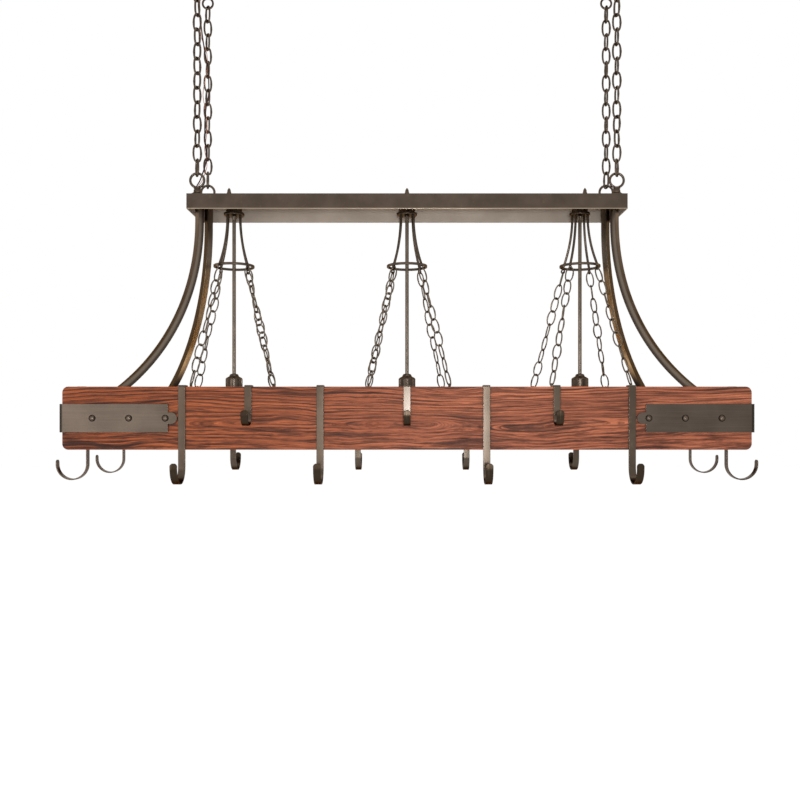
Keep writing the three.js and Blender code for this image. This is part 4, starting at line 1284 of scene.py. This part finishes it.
def socket():
    """A keyless lamp socket: a small dome on a sloping cap, a fluted shell and a beaded edge."""
    r, h = SOCKET_RADIUS / MM, SOCKET_HEIGHT / MM
    recess = SOCKET_RECESS / MM - h
    piece = turned([
        (0, 0), (6.6, 0), (8.8, -0.8), (10.6, -2.8), (11.5, -5.6), (12.4, -6.6), (17.8, -9.4),
        (r - 0.4, -11.8), (r, -12.8), (r, -14), (r, 6 - h), (r - 0.8, 5.4 - h), (r, 4.6 - h),
        (r, 0.6 - h), (r - 0.6, -h), (r - 3, -h), (r - 3, recess), (0, recess)], 48, MM)
    middle = -(14 + h - 6) / 2 * MM
    spacing = math.tau / FLUTES
    pick(piece, lambda co, way: abs(co.z - middle) < 2 * MM and co.xy.length > SOCKET_RADIUS - 2 * MM
         and math.atan2(co.y, co.x) % spacing < spacing / 2)
    bpy.ops.mesh.inset(thickness=0.5 * MM, depth=-0.9 * MM)
    leave()
    return soften(piece, angle=28)


def bulb():
    radius, neck, end = BULB_RADIUS / MM, BULB_NECK / MM, -BULB_LENGTH / MM
    middle = end + radius
    globe = arc_profile((0, middle), radius, -88, 46, 26)
    shoulder = [(17.4, middle + 24), (15, middle + 28), (13.8, middle + 32), (neck, middle + 36)]
    return soften(turned([(0, end), *globe, *shoulder, (neck, 0), (0, 0)], 48, MM), angle=60)


def bowl():
    turns = [math.radians(5 * i) for i in range(19)]
    outer = [(BOWL_RADIUS * math.sin(a), -BOWL_DEPTH * math.cos(a)) for a in turns]
    inner_radius, inner_depth = BOWL_RADIUS - BOWL_WALL, BOWL_DEPTH - BOWL_WALL
    inner = [(inner_radius * math.sin(a), -inner_depth * math.cos(a)) for a in turns[::-1]]
    return soften(turned([*outer, *inner], 72), angle=50)


def stem(top, bottom):
    """A rod with a six-sided nut under the flange, turned so that no flat mirrors the front lamp."""
    top, bottom = top / MM, bottom / MM
    rod = turned([(0, bottom), (4.5, bottom), (4.5, top), (0, top)], 28, MM)
    nut = turned([(0, top - 12), (5.2, top - 12), (7.6, top - 3), (7.6, top - 1), (0, top - 1)], 6, MM)
    return joined([soften(rod, 0.3 * MM), soften(moved(nut, spun(30)), 0.4 * MM)])


makers = {
    "crown": crown(), "hangers": hangers(), "socket": socket(), "bulb": bulb(), "bowl": bowl(),
    "stem": stem(-FLANGE_HEIGHT - GAP, -SOCKET_DROP + GAP),
}
DROPS = {"socket": SOCKET_DROP, "bulb": SOCKET_DROP + SOCKET_HEIGHT - SOCKET_RECESS + GAP, "bowl": BOWL_DROP}
FINISHES = {
    "bulb": (BULB_GLASS, "bulb_glass"), "bowl": (BOWL_GLASS, "shade_glass"),
    "stem": (PALE_BRONZE, "bronze"), "hangers": (PALE_BRONZE, "bronze"),
}
for name, middle in LAMP_PLACES.items():
    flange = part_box(f"lamp_{name}_crown")[1].z - COLLAR_HEIGHT
    for kind, template in makers.items():
        turn = spun(LAMP_TURNS[name] if kind in ("crown", "hangers") else 0)
        made = copied(template, at(middle.x, middle.y, flange - DROPS.get(kind, 0)) @ turn)
        node = f"lamp_{name}_{kind}"
        body = f"bulb_{name}" if kind == "bulb" else "rack"
        dress(made, f"fine_{node}", [node], body, *FINISHES.get(kind, (BRONZE, "bronze")))
discard(*makers.values())

# ----- finish -----

bpy.context.scene.view_settings.view_transform = "Standard"
